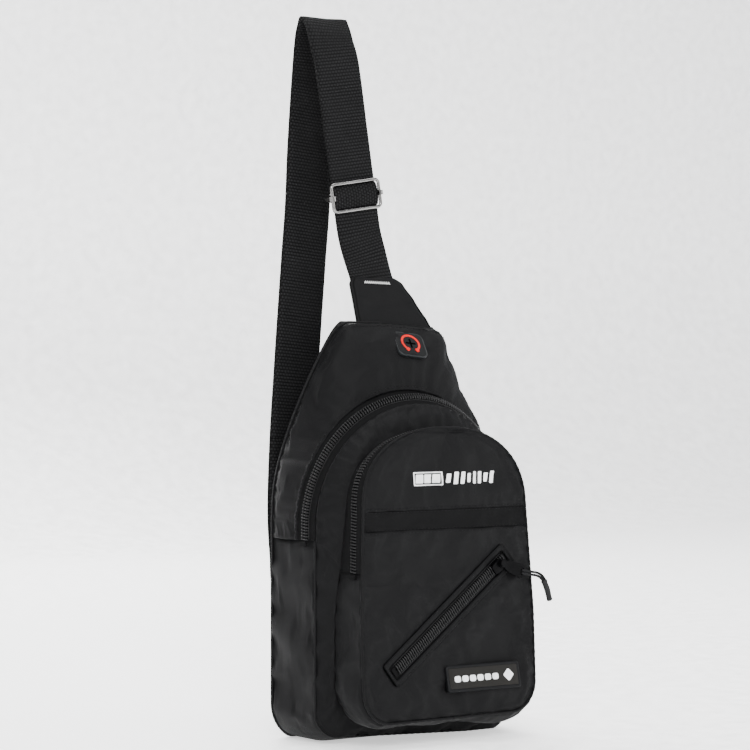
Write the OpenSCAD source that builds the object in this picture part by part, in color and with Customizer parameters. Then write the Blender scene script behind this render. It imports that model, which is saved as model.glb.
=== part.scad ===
// A teardrop sling bag: one zipped main compartment, one zipped front pocket with a slanted
// zip across it, and a webbing strap that loops from the top tab to a ring low on the back.
// The origin is the middle of the flat base, +Z is up and the front faces -Y. Millimetres.

/* [Main compartment] */
// Half of the width of the bag
half_w = 87; // [80:0.5:95]
// Height of the fabric bag, without its strap
bag_h = 296; // [280:1:310]
// Depth of the main compartment, front seam to back face
bag_d = 50; // [44:1:56]
// Radius of the bottom corners
corner_r = 25; // [20:1:38]
// Height at which the fabric gusset ends and the zip tapes begin
gusset_h = 143; // [130:1:148]
// Height of the centre of the main zip's arch
arch_z = 157; // [150:1:162]
// Radius of the main zip's arch, along its coil
arch_r = 86; // [82:0.5:88]
// Thickness of the shell fabric with its lining
cloth = 1.5; // [1:0.1:2]

/* [Front pocket] */
// Half of the pocket's width
pocket_w = 75; // [70:0.5:78]
// Height of the pocket's lower edge
pocket_z = 19; // [15:0.5:26]
// Height of the top of the pocket's arch
pocket_top = 221; // [214:1:228]
// Height at which the pocket's own zip tapes begin
pocket_split = 122; // [110:1:126]
// How far the pocket's front edge stands before the origin, at the bottom
pocket_y = 71; // [64:0.5:76]
// How far the pocket's front leans back from bottom to top
pocket_lean = 10; // [6:0.5:14]

/* [Slanted zip] */
// Angle of the slanted zip above the horizontal
diag_angle = 37; // [30:1:44]
// Middle of the slanted zip, to the side
diag_x = -5.5; // [-12:0.5:2]
// Middle of the slanted zip, above the base
diag_z = 86.5; // [80:0.5:92]
// Length of the slanted zip's opening
diag_len = 130; // [120:1:134]

/* [Strap] */
// Width of the webbing
web_w = 38; // [32:1:40]
// Thickness of the webbing
web_t = 1.6; // [1.2:0.1:2]
// Wire radius of the adjuster and the anchor ring
wire_r = 1.2; // [1.1:0.05:1.5]
// Height of the adjuster's middle at rest
adjuster_z = 388; // [386:1:394]

/* [Hidden] */

shell_black = [0.07, 0.07, 0.075];
tape_black = [0.03, 0.03, 0.035];
nickel = [0.75, 0.75, 0.76];
gunmetal = [0.25, 0.25, 0.27];

gap = 0.2;                 // clearance between sewn pieces drawn side by side
eps = 0.01;
arc_n = 24;                // segments in an arch
corner_n = 6;              // segments in a corner
back_y = bag_d / 2;
seam_y = -bag_d / 2 - 1;   // front seam of the main compartment
panel_t = 3;               // padded back panel
foam_t = 5;                // foam sheet behind it
ridge_z = 200;             // the back panel leans forward above this height
ridge_in = 22;             // and by this much at the top
shoulder_z = 182;          // the sides slope inward above this height
ridge_half = 45;           // half of the width of the top ridge
taper_z = 90;              // the pocket narrows above this height
pocket_arch_z = 165;
pocket_arch_w = 71;
pocket_pow = 2.3;

// ---------- curves ----------

function unit(v) = v / norm(v);
function power_cos(a, p) = sign(cos(a)) * pow(abs(cos(a)), 2 / p);
function power_sin(a, p) = pow(abs(sin(a)), 2 / p);

// a closed outline in x and z: corners, straight sides with a taper and a split point, and an arch
function loop(hw, zb, r, zt, zs, hs, arch_c, rz, p) = concat(
    [for (i = [0:corner_n]) let (a = -90 + 90 * i / corner_n) [hw - r + r * cos(a), zb + r + r * sin(a)]],
    [[hw, zt], [hw + (hs - hw) * (zs - zt) / (arch_c - zt), zs]],
    [for (i = [0:arc_n]) let (a = 180 * i / arc_n) [hs * power_cos(a, p), arch_c + rz * power_sin(a, p)]],
    [[-hw - (hs - hw) * (zs - zt) / (arch_c - zt), zs], [-hw, zt]],
    [for (i = [0:corner_n]) let (a = 180 + 90 * i / corner_n) [-hw + r + r * cos(a), zb + r + r * sin(a)]]
);
split_r = corner_n + 2;                  // index of the right split point in a loop
split_l = corner_n + 4 + arc_n;          // and of the left one
loop_n = 2 * corner_n + arc_n + 7;
upper_run = [for (i = [split_r:split_l]) i];
lower_run = [for (i = [split_l:loop_n + split_r]) i % loop_n];

// the bag's outline, seen from the front: rounded corners, sloping shoulders and a flat ridge
slope = unit([bag_h - shoulder_z, half_w - ridge_half]);
slope_d = slope * [half_w, shoulder_z - arch_z];
function shell_rho(a) = 1 / pow(
    pow(abs(cos(a)) / half_w, 30)
    + pow((slope.x * abs(cos(a)) + slope.y * sin(a)) / slope_d, 30)
    + pow(sin(a) / (bag_h - arch_z), 30), 1 / 30);
shell_arc = [for (i = [0:2 * arc_n]) let (a = 90 * i / arc_n) shell_rho(a) * [cos(a), sin(a)] + [0, arch_z]];
function shell_outline(inset) = concat(
    [for (i = [0:corner_n]) let (a = -90 + 90 * i / corner_n)
        [half_w - corner_r, corner_r] + (corner_r - inset) * [cos(a), sin(a)]],
    [for (p = shell_arc) let (s = 1 - inset / norm(p - [0, arch_z])) [p.x * s, arch_z + (p.y - arch_z) * s]],
    [for (i = [0:corner_n]) let (a = 180 + 90 * i / corner_n)
        [-half_w + corner_r, corner_r] + (corner_r - inset) * [cos(a), sin(a)]]
);
function back_face(z) = back_y - (z > ridge_z ? ridge_in * pow((z - ridge_z) / (bag_h - ridge_z), 2) : 0);

// the four long edges of the main zip, each an arch on two short legs
function arch_edge(rx, top, y0, y1) = [for (i = [-1:arc_n + 1])
    i < 0 ? [rx, y0, gusset_h] : i > arc_n ? [-rx, y0, gusset_h]
    : let (a = 180 * i / arc_n) [rx * cos(a), y0 + (y1 - y0) * sin(a), arch_z + (top - arch_z) * sin(a)]];
coil_y = -16;              // the coil's place at the sides
coil_rise = 9;             // the coil comes forward by this much at the top
coil_tilt = atan(coil_rise / arch_r);
coil_top = arch_z + arch_r * cos(coil_tilt);
tape_half = 10;            // half of the width of the zip band
tape_slope = 33;           // the band's slope where it crosses the top
rear_edge = arch_edge(half_w, coil_top + tape_half * sin(tape_slope), coil_y + tape_half,
    coil_y - coil_rise + tape_half * cos(tape_slope));
coil_edge = arch_edge(arch_r, coil_top, coil_y, coil_y - coil_rise);
front_edge = arch_edge(arch_r - 1, coil_top - tape_half * sin(tape_slope), coil_y - tape_half,
    coil_y - coil_rise - tape_half * cos(tape_slope));
ridge_edge = [for (i = [-1:arc_n + 1])
    i < 0 ? [half_w, back_y - panel_t, gusset_h] : i > arc_n ? [-half_w, back_y - panel_t, gusset_h]
    : let (p = shell_arc[2 * i]) [p.x, back_face(p.y) - panel_t, p.y]];

// the main front panel's edge, the pocket's rear edge and the pocket's front edge
seam_loop = [for (p = loop(arch_r - 1.8, 1.7, corner_r - 1, taper_z, gusset_h, arch_r - 1.8, arch_z,
    front_edge[arc_n / 2 + 1].z - arch_z - 0.8, 2))
    [p.x, p.y > arch_z ? seam_y - 8 * (p.y - arch_z) / 80 : seam_y, p.y]];
rear_loop = [for (p = loop(pocket_w, pocket_z + 3, 22, taper_z, pocket_split, pocket_arch_w, pocket_arch_z,
    pocket_top - 5 - pocket_arch_z, pocket_pow))
    [p.x, seam_y - 10 - 8 * min(1, max(0, (p.y - taper_z) / (pocket_arch_z - taper_z))), p.y]];
pocket_outline = loop(pocket_w, pocket_z, 22, taper_z, pocket_split, pocket_arch_w, pocket_arch_z,
    pocket_top - pocket_arch_z, pocket_pow);
function pocket_face(z) = -pocket_y + pocket_lean * (z - pocket_z) / (pocket_top - pocket_z);
front_loop = [for (p = pocket_outline) [p.x, pocket_face(p.y), p.y]];
function blend_loop(a, b, k) = [for (i = [0:len(a) - 1]) a[i] + (b[i] - a[i]) * k];
coil_back = 9;             // the pocket's coil lies this far behind its front edge
pocket_coil_line = [for (i = upper_run) let (d = rear_loop[i] - front_loop[i]) front_loop[i] + unit(d) * coil_back];

// ---------- generic solids ----------

// a cloth sheet of thickness t on a grid of points, its outer side where the rows' cross product points
module sheet(rows, t) {
    ni = len(rows);
    nj = len(rows[0]);
    normals = [for (i = [0:ni - 1]) [for (j = [0:nj - 1])
        unit(cross(rows[min(i + 1, ni - 1)][j] - rows[max(i - 1, 0)][j],
            rows[i][min(j + 1, nj - 1)] - rows[i][max(j - 1, 0)]))]];
    outer = [for (r = rows) each r];
    inner = [for (i = [0:ni - 1]) each [for (j = [0:nj - 1]) rows[i][j] - t * normals[i][j]]];
    m = ni * nj;
    quads = concat(
        [for (i = [0:ni - 2]) each [for (j = [0:nj - 2])
            [i * nj + j, i * nj + j + 1, (i + 1) * nj + j + 1, (i + 1) * nj + j]]],
        [for (i = [0:ni - 2]) each [for (j = [0:nj - 2])
            [m + i * nj + j, m + (i + 1) * nj + j, m + (i + 1) * nj + j + 1, m + i * nj + j + 1]]],
        [for (i = [0:ni - 2]) each [
            [i * nj, (i + 1) * nj, m + (i + 1) * nj, m + i * nj],
            [i * nj + nj - 1, m + i * nj + nj - 1, m + (i + 1) * nj + nj - 1, (i + 1) * nj + nj - 1]]],
        [for (j = [0:nj - 2]) each [
            [j, m + j, m + j + 1, j + 1],
            [(ni - 1) * nj + j, (ni - 1) * nj + j + 1, m + (ni - 1) * nj + j + 1, m + (ni - 1) * nj + j]]]);
    polyhedron(concat(outer, inner), [for (q = quads) each [[q[0], q[1], q[2]], [q[0], q[2], q[3]]]]);
}

// a panel made of closed rings from its edge inward, t thick towards +Y, closed at a middle point
module ringed_panel(rings, middle, t) {
    n = len(rings[0]);
    k = len(rings);
    front = concat([for (r = rings) each r], [middle]);
    back = [for (p = front) p + [0, t, 0]];
    m = len(front);
    quads = concat(
        [for (i = [0:k - 2]) each [for (j = [0:n - 1]) let (h = (j + 1) % n)
            [i * n + j, (i + 1) * n + j, (i + 1) * n + h, i * n + h]]],
        [for (i = [0:k - 2]) each [for (j = [0:n - 1]) let (h = (j + 1) % n)
            [m + i * n + j, m + i * n + h, m + (i + 1) * n + h, m + (i + 1) * n + j]]],
        [for (j = [0:n - 1]) let (h = (j + 1) % n) [j, h, m + h, m + j]]);
    caps = concat(
        [for (j = [0:n - 1]) [(k - 1) * n + j, m - 1, (k - 1) * n + (j + 1) % n]],
        [for (j = [0:n - 1]) [m + (k - 1) * n + j, m + (k - 1) * n + (j + 1) % n, 2 * m - 1]]);
    polyhedron(concat(front, back), concat(caps, [for (q = quads) each [[q[0], q[1], q[2]], [q[0], q[2], q[3]]]]));
}

// the path through a list of points, with n steps between neighbours
function smooth(p, n) = [for (i = [0:len(p) - 2]) each [for (k = [0:n - (i < len(p) - 2 ? 1 : 0)])
    let (t = k / n, a = p[max(i - 1, 0)], b = p[i], c = p[i + 1], d = p[min(i + 2, len(p) - 1)])
    0.5 * (2 * b + (c - a) * t + (2 * a - 5 * b + 4 * c - d) * t * t + (3 * b - a - 3 * c + d) * t * t * t)]];
function tangent(p, i) = unit(p[min(i + 1, len(p) - 1)] - p[max(i - 1, 0)]);

// a section carried along a path: each section point is [across, inward]
module sweep(path, section) {
    n = len(path);
    s = len(section);
    pts = [for (i = [0:n - 1]) let (t = tangent(path, i), w = unit([1, 0, 0] - t.x * t), v = cross(t, w))
        each [for (q = section) path[i] + q.x * w + q.y * v]];
    sides = [for (i = [0:n - 2]) each [for (j = [0:s - 1]) let (h = (j + 1) % s)
        each [[i * s + j, (i + 1) * s + j, (i + 1) * s + h], [i * s + j, (i + 1) * s + h, i * s + h]]]];
    polyhedron(pts, concat(sides, [[for (j = [0:s - 1]) j], [for (j = [s - 1:-1:0]) (n - 1) * s + j]]));
}
function band(w, t, lift) = [[-w / 2, lift - t / 2], [-w / 2, lift + t / 2], [w / 2, lift + t / 2], [w / 2, lift - t / 2]];

// a round cord along a path whose steps never point along `up`
module cord_tube(path, r, up) {
    n = len(path);
    pts = [for (i = [0:n - 1]) let (t = tangent(path, i), w = unit(cross(up, t)), v = cross(t, w))
        each [for (k = [0:7]) path[i] + r * (cos(45 * k) * w - sin(45 * k) * v)]];
    sides = [for (i = [0:n - 2]) each [for (j = [0:7]) let (h = (j + 1) % 8)
        each [[i * 8 + j, (i + 1) * 8 + j, (i + 1) * 8 + h], [i * 8 + j, (i + 1) * 8 + h, i * 8 + h]]]];
    polyhedron(pts, concat(sides, [[for (j = [0:7]) j], [for (j = [7:-1:0]) (n - 1) * 8 + j]]));
}

// a plate with rounded corners, centred, its thickness along Z
module plate(w, h, t, r) {
    linear_extrude(t) union() {
        square([w - 2 * r, h], center = true);
        square([w, h - 2 * r], center = true);
        for (x = [-1, 1], y = [-1, 1]) translate([x * (w / 2 - r), y * (h / 2 - r)]) circle(r, $fn = 24);
    }
}

// stands a 2D outline of x and z upright and makes it deep from y0 to y1
module upright(y0, y1) { translate([0, y1, 0]) rotate([90, 0, 0]) linear_extrude(y1 - y0) children(); }

// a slab that follows a [y, z] outline, as wide as the bag
module across(points) {
    translate([-half_w - 5, 0, 0]) rotate([90, 0, 90]) linear_extrude(2 * half_w + 10) polygon(points);
}

// ---------- main compartment ----------

function lean_slab(d0, d1, z0, z1) = concat(
    [for (z = [z0, for (k = [0:8]) ridge_z + (z1 - ridge_z) * k / 8]) [back_face(z) - d0, z]],
    [for (z = [for (k = [8:-1:0]) ridge_z + (z1 - ridge_z) * k / 8, z0]) [back_face(z) - d1, z]]);

module back_panel() {
    color(shell_black) intersection() {
        upright(-back_y, back_y + 1) polygon(shell_outline(0));
        across(lean_slab(0, panel_t, -1, bag_h + 1));
    }
}

module back_foam() {
    color([0.2, 0.2, 0.2]) intersection() {
        upright(-back_y, back_y) polygon(shell_outline(8));
        across(lean_slab(panel_t + gap, panel_t + foam_t, -1, bag_h - 40));
    }
}

module inner_pocket() {
    color([0.1, 0.1, 0.11]) upright(back_y - panel_t - 7, back_y - panel_t - 6)
        translate([-60, 40]) square([120, 130]);
}

module main_gusset() {
    color(shell_black) upright(seam_y, back_y - panel_t - gap) difference() {
        polygon(shell_outline(0));
        polygon(shell_outline(cloth));
        translate([-100, gusset_h]) square([200, 200]);
    }
}

module yoke() {
    color(shell_black) sheet([for (i = [0:arc_n + 2]) [for (k = [0:4])
        ridge_edge[i] + (rear_edge[i] - ridge_edge[i]) * (0.05 + 0.94 * k / 4)
        + (i == 0 || i == arc_n + 2 ? [0, 0, gap] : [0, 0, 0])]], cloth);
}

module main_front_panel() {
    inner = [for (p = rear_loop) p + [0, -0.3, 0]];
    centre = [0, seam_y - 13, 110];
    color(shell_black) ringed_panel([seam_loop, blend_loop(seam_loop, inner, 0.5) + [for (p = inner) [0, -1.5, 0]],
        inner, [for (p = inner) centre + (p - centre) * 0.6], [for (p = inner) centre + (p - centre) * 0.25]],
        centre, cloth);
}

module zip_half(a, b, t) {
    sheet([for (i = [0:len(a) - 1]) [a[i], b[i]]], t);
}

module main_tape_rear() { color(tape_black) zip_half(
    blend_loop(rear_edge, coil_edge, 0.02), blend_loop(rear_edge, coil_edge, 0.98), 0.8); }
module main_tape_front() { color(tape_black) zip_half(
    blend_loop(coil_edge, front_edge, 0.02), blend_loop(coil_edge, front_edge, 0.98), 0.8); }

// a coil: a low strip that stands on the two tapes
coil_w = 5;
coil_h = 1.8;
module coil_strip(rear, mid, front) {
    n = len(mid);
    half = [for (i = [0:n - 1]) unit(front[i] - rear[i]) * coil_w / 2];
    up = [for (i = [0:n - 1]) unit(cross(mid[min(i + 1, n - 1)] - mid[max(i - 1, 0)], half[i]))];
    sheet([for (i = [0:n - 1]) [mid[i] - half[i] + up[i] * coil_h, mid[i] + half[i] + up[i] * coil_h]], coil_h - gap);
}

module main_coil() { color(tape_black) coil_strip(rear_edge, coil_edge, front_edge); }

// the small bars that close the two ends of a zip
module main_zip_ends() {
    color(gunmetal) for (x = [-1, 1]) translate([x * (arch_r + 1.3), coil_y, gusset_h - 2.5])
        rotate([0, x * 90, 0]) plate(3, 7, 1.2, 1);
}

// ---------- front pocket ----------

module pocket_gusset() {
    color(shell_black) sheet([for (i = lower_run) [for (k = [0:3]) let (d = front_loop[i] - rear_loop[i])
        rear_loop[i] + d * (0.02 + 0.96 * k / 3)]], cloth);
}

module pocket_tape_rear() {
    color(tape_black) sheet([for (k = [0:len(upper_run) - 1]) let (a = rear_loop[upper_run[k]], b = pocket_coil_line[k])
        [a + (b - a) * 0.04, a + (b - a) * 0.97]], 0.8);
}
module pocket_tape_front() {
    color(tape_black) sheet([for (k = [0:len(upper_run) - 1]) let (a = pocket_coil_line[k], b = front_loop[upper_run[k]])
        [a + (b - a) * 0.03, a + (b - a) * 0.97]], 0.8);
}
module pocket_coil() {
    color(tape_black) coil_strip([for (i = upper_run) rear_loop[i]], pocket_coil_line, [for (i = upper_run) front_loop[i]]);
}
module pocket_zip_ends() {
    end = pocket_coil_line[0];
    color(gunmetal) for (x = [-1, 1]) translate([x * (end.x + 1.1), end.y, end.z - 2.5])
        rotate([0, x * 90, 0]) plate(3, 7, 1.2, 1);
}

lean = atan(pocket_lean / (pocket_top - pocket_z));
band_z0 = 150.5;
band_z1 = 164.5;
// puts children on the pocket's front: x to the side, y up the panel, z out of it
module on_front() { translate([0, -pocket_y - cloth, pocket_z]) rotate([90 - lean, 0, 0]) children(); }
// puts children on the line of the slanted zip: x towards its closed end, z out of the panel
module on_diag() { on_front() translate([diag_x, (diag_z - pocket_z) / cos(lean), 0]) rotate([0, 0, diag_angle]) children(); }
diag_off = 7;              // the opening's middle lies this far towards the closed end
slot_w = 14;

module front_slab(z0, z1, t) {
    intersection() {
        upright(-pocket_y - 20, 0) polygon(pocket_outline);
        across([[pocket_face(z0) - t, z0], [pocket_face(z0), z0], [pocket_face(z1), z1], [pocket_face(z1) - t, z1]]);
    }
}
module pocket_front_lower() {
    color(shell_black) difference() {
        front_slab(pocket_z - 1, band_z0, cloth);
        on_diag() translate([diag_off, 0, -5]) plate(diag_len, slot_w, 10, 2);
    }
}
module pocket_band() { color(tape_black) front_slab(band_z0 + gap, band_z1 - gap, cloth - 0.3); }
module pocket_front_upper() { color(shell_black) front_slab(band_z1, pocket_top + 1, cloth); }

module diag_welts() {
    color(shell_black) on_diag() translate([diag_off, 0, 0.05]) linear_extrude(0.9) difference() {
        square([diag_len + 8, slot_w + 8], center = true);
        square([diag_len - 1, slot_w - 1], center = true);
    }
}
module diag_tapes() {
    color(tape_black) on_diag() for (y = [-1, 1]) translate([diag_off, y * (slot_w / 4 - gap / 2), -1.2])
        linear_extrude(0.8) square([diag_len - 1, slot_w / 2 - gap], center = true);
}
module diag_coil() {
    color(tape_black) on_diag() translate([diag_off, 0, -0.4 + coil_h / 2 + eps])
        cube([diag_len - 12, coil_w, coil_h], center = true);
}
module diag_zip_ends() {
    color(gunmetal) on_diag() for (x = [-1, 1]) translate([diag_off + x * (diag_len / 2 - 3.4), 0, -0.39]) plate(3, 7, 1.2, 1);
}
module diag_pocket_bag() {
    color([0.1, 0.1, 0.11]) translate([0, 4.2, 0]) intersection() {
        upright(-pocket_y - 20, 0) translate([-62, pocket_z + 14]) square([124, 122]);
        across([[pocket_face(20), 20], [pocket_face(20) + 0.8, 20], [pocket_face(160) + 0.8, 160], [pocket_face(160), 160]]);
    }
}

module rubber_label() {
    color([0.06, 0.06, 0.06]) on_front() translate([26.5, 45.5 - pocket_z, 0.05]) difference() {
        plate(63, 18, 1.4, 2);
        translate([0, 0, 0.8]) plate(59, 14, 2, 1);
    }
}
module chest_print() {
    color("white") on_front() translate([10, 186 - pocket_z, 0.05]) linear_extrude(0.3) {
        for (k = [0:4]) translate([-35 + 4.4 * k, -3.5]) square([2.6, 7]);
        translate([-11, -0.8]) square([46, 1.6]);
    }
}

// ---------- earphone port ----------

port_slope = atan((rear_edge[arc_n / 2 + 1].z - bag_h) / (rear_edge[arc_n / 2 + 1].y - back_face(bag_h) + panel_t));
module earphone_port() {
    color([0.08, 0.08, 0.08]) translate([7, -6, 280.5]) rotate([port_slope, 0, 0]) rotate([0, 0, -8]) difference() {
        plate(25, 22, 1.6, 5);
        for (a = [0, 90]) rotate([0, 0, a]) cube([7, 0.8, 8], center = true);
    }
}

// ---------- strap ----------

tab_lean = 15;
tab_base = [0, 4.6, 290];
module on_tab() { translate(tab_base) rotate([90 - tab_lean, 0, 0]) children(); }
module strap_tab() {
    color(shell_black) on_tab() for (w = [-2.4, 1.1]) translate([0, 0, w]) linear_extrude(1.3)
        polygon([[-24.5, 8.5], [35, 8.5], [17.5, 36], [10, 40], [-23, 40], [-25.5, 35.5]]);
}
module tab_bartack() {
    color("white") on_tab() translate([-5, 35, 2.45]) rotate([0, 0, -1.5]) plate(22.5, 3, 0.5, 0.5);
}

// the middle of the webbing, from inside the top tab, over the top and down to the anchor ring
run_y = 19;
run_lean = -0.16;
function run_x(z) = -13.4 + run_lean * (z - 350);
ring_bar = [-60.5, 33, 115];
turn_r = 5.4;
strap_front = [[-5.4, 8.1, 303], [-6.4, 13.2, 322], [-9.2, 17.8, 340], [run_x(362), run_y, 362]];
strap_top = [[-37.2, 22.5, 500], [-37.6, 27, 511], [-36.6, 34, 516], [-35.2, 41, 511], [-34.2, 46.5, 499]];
strap_rear = [[-35, 49, 471], [-40, 47, 421], [-44, 44, 379], [-48, 43, 341], [-55, 41, 271],
    [-60, 40, 212], [-62.4, 39, 161], [ring_bar.x - 0.4, ring_bar.y + turn_r, 128]];
turn = [for (a = [0:30:180]) ring_bar + turn_r * [0, cos(a), -sin(a)]];
strap_path = concat(
    smooth(concat(strap_front, [for (z = [390, 436, 482]) [run_x(z), run_y, z]], strap_top, strap_rear), 3), turn);

// the layer that comes back up from the ring to the adjuster
layer = web_t + 0.1;
return_path = concat(
    smooth(concat([[run_x(482), run_y, 482]], strap_top, [for (k = [0:5]) strap_rear[k]]), 3));
return_low = smooth([[-60, 40 - layer, 212], [-62.4, 35.5, 161], [ring_bar.x - 0.5, 28.4, 130],
    [ring_bar.x, ring_bar.y - turn_r, ring_bar.z + 0.1]], 3);

module strap_webbing() { color([0.05, 0.05, 0.055]) sweep(strap_path, band(web_w, web_t, 0)); }
module strap_return() {
    color([0.05, 0.05, 0.055]) union() {
        sweep(return_path, band(web_w - 1, web_t, layer));
        sweep(return_low, band(web_w - 1, web_t, 0));
    }
}

// puts children on the straight run of the strap: z up the strap, y behind it
run_angle = atan(run_lean);
module on_run(z) { translate([run_x(z), run_y, z]) rotate([0, run_angle, 0]) children(); }
bar_y = web_t / 2 + 4.05;
end_loop_r = wire_r + 1.3;
module strap_return_front() {
    color([0.05, 0.05, 0.055]) on_run(adjuster_z) translate([0, layer, 24.2 + (482 - adjuster_z - 25) / 2])
        cube([web_w - 1, web_t, 482 - adjuster_z - 25], center = true);
}
module strap_end_loop() {
    color([0.05, 0.05, 0.055]) on_run(adjuster_z) translate([0, bar_y, 0]) difference() {
        union() {
            rotate([0, 90, 0]) cylinder(r = end_loop_r, h = web_w - 2, center = true, $fn = 48);
            translate([0, end_loop_r - 4.4, 12]) cube([web_w - 2, 1.7, 24], center = true);
        }
        rotate([0, 90, 0]) cylinder(r = wire_r + 0.05, h = web_w, center = true, $fn = 48);
    }
}

// a rounded rectangular ring of wire in the XZ plane, measured between wire centres
module wire_ring(w, h, r) {
    for (x = [-1, 1]) translate([x * w / 2, 0, 0]) cylinder(r = wire_r, h = h - 2 * r, center = true, $fn = 32);
    for (z = [-1, 1]) translate([0, 0, z * h / 2]) rotate([0, 90, 0])
        cylinder(r = wire_r, h = w - 2 * r, center = true, $fn = 32);
    for (x = [-1, 1], z = [-1, 1]) translate([x * (w / 2 - r), 0, z * (h / 2 - r)]) rotate([90, 0, 0])
        rotate([0, 0, x > 0 ? (z > 0 ? 0 : 270) : (z > 0 ? 90 : 180)])
            rotate_extrude(angle = 90, $fn = 48) translate([r, 0]) circle(wire_r, $fn = 32);
}
adj_w = web_w + 2 * wire_r + 1.6;
adj_h = 20;
frame_y = -web_t / 2 - wire_r - 0.3;
module adjuster_frame() { color(nickel) on_run(adjuster_z) translate([0, frame_y, 0]) wire_ring(adj_w, adj_h, 3); }
module adjuster_bar() {
    color(nickel) on_run(adjuster_z) {
        translate([0, bar_y, 0]) rotate([0, 90, 0]) cylinder(r = wire_r, h = adj_w + 2 * wire_r, center = true, $fn = 32);
        for (x = [-1, 1]) translate([x * adj_w / 2, 0, 0]) difference() {
            union() {
                translate([0, frame_y, 0]) cylinder(r = wire_r + 1.4, h = 3.4, center = true, $fn = 32);
                translate([0, (frame_y + bar_y) / 2 + 1, 0]) cube([2 * wire_r, bar_y - frame_y - 2, 2 * wire_r], center = true);
            }
            translate([0, frame_y, 0]) cylinder(r = wire_r + 0.08, h = 10, center = true, $fn = 32);
            translate([-x * 3.4, 0, 0]) cube([4, 14, 10], center = true);
        }
    }
}

ring_w = web_w + 2 * wire_r + 1.6;
ring_h = 16;
module anchor_ring() {
    color(nickel) translate([ring_bar.x, ring_bar.y, ring_bar.z - ring_h / 2]) wire_ring(ring_w, ring_h, 3);
}
module anchor_tab() {
    hinge_z = ring_bar.z - ring_h;
    color(shell_black) translate([ring_bar.x, 0, 0]) difference() {
        union() {
            translate([-15, 0, 0]) rotate([90, 0, 90]) linear_extrude(30) polygon([[back_y + 0.1, hinge_z - 40],
                [back_y + 2, hinge_z - 40], [ring_bar.y + 2.6, hinge_z], [ring_bar.y - 2.6, hinge_z], [back_y + 0.1, hinge_z - 18]]);
            translate([0, ring_bar.y, hinge_z]) rotate([0, 90, 0]) cylinder(r = 2.9, h = 30, center = true, $fn = 48);
        }
        translate([0, ring_bar.y, hinge_z]) rotate([0, 90, 0]) cylinder(r = wire_r + 0.05, h = 40, center = true, $fn = 48);
    }
}

// ---------- sliders and pulls ----------
// Local axes: x towards the closed end, y across the zip, z out of the cloth, zero on the tapes.

plate_z = 3.2;             // underside of a slider's top plate
plate_t = 1.1;
pivot_z = 5.2;
pin_r = 0.7;

module slider_body(flange) {
    translate([0, 0, plate_z]) linear_extrude(plate_t) polygon([[-5.5, -3], [-3, -3.8], [3, -4.2], [5.2, -3.2],
        [6, 0], [5.2, 3.2], [3, 4.2], [-3, 3.8], [-5.5, 3]]);
    for (y = [-1, 1]) translate([-0.5, y * 3.6, plate_z - flange / 2 + eps]) cube([7, 0.9, flange], center = true);
}
module slider_bridge() {
    rotate([90, 0, 0]) translate([0, 0, -1.3]) linear_extrude(2.6) difference() {
        polygon([[-3.9, plate_z + plate_t - eps], [3.9, plate_z + plate_t - eps], [3.4, 6.7], [2.4, 7.2], [-2.4, 7.2], [-3.4, 6.7]]);
        translate([-2.6, plate_z + plate_t - 1]) square([5.2, 2.8]);
    }
}
module pull_plate(x0) {
    translate([0, 0, -0.65]) linear_extrude(1.3) difference() {
        polygon([[-x0, -2.6], [-x0 - 4, -4.2], [-18, -5.2], [-20, -4.2], [-20, 4.2], [-18, 5.2], [-x0 - 4, 4.2], [-x0, 2.6]]);
        translate([-17.9, 0]) square([2.2, 5.4], center = true);
    }
}
// a flip pull: its pin lies in the bridge, and the plate trails towards -x
module flip_pull() {
    rotate([90, 0, 0]) cylinder(r = pin_r, h = 5.4, center = true, $fn = 24);
    for (y = [-1, 1]) translate([-2.3, y * 2.15, 0]) cube([4.8, 1.1, 1.2], center = true);
    pull_plate(4.3);
}
// a swivel pull: its eye goes round the slider's post
post_x = 3.2;
module swivel_pull() {
    translate([0, 0, -0.65]) linear_extrude(1.3) difference() {
        circle(3.1, $fn = 32);
        circle(1.9, $fn = 32);
    }
    difference() {
        pull_plate(2.4);
        cylinder(r = 3, h = 4, center = true, $fn = 32);
    }
}

cord_r = 0.95;
cord_gap = 1.05;           // each strand lies this far from the middle of the pair
// straight cords and end of a pull that hangs along -x
hang = [for (x = [-20.2, -25, -30, -35, -40, -45, -50.4]) [x, 0, 0]];
module hanging_cord(side) { cord_tube([for (p = hang) p + [0, side * cord_gap, 0]], cord_r, [0, 0, 1]); }
module hanging_end() {
    rotate([0, -90, 0]) translate([0, 0, 38]) {
        cylinder(r = 2.3, h = 14, $fn = 32);
        translate([0, 0, 14]) cylinder(r1 = 2.3, r2 = 1.7, h = 1, $fn = 32);
    }
}

module at_main() { translate([0, coil_y, arch_z]) rotate([coil_tilt, 0, 0]) translate([arch_r, 0, 0]) rotate([0, -90, 180]) children(); }
module at_main_pull() { at_main() translate([0, 0, pivot_z]) children(); }
module main_slider() { color(gunmetal) at_main() { slider_body(0.6); slider_bridge(); } }
module main_pull() { color(gunmetal) at_main_pull() flip_pull(); }
module main_pull_cord_a() { color(tape_black) at_main_pull() hanging_cord(1); }
module main_pull_cord_b() { color(tape_black) at_main_pull() hanging_cord(-1); }
module main_pull_end() { color(tape_black) at_main_pull() hanging_end(); }

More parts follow.
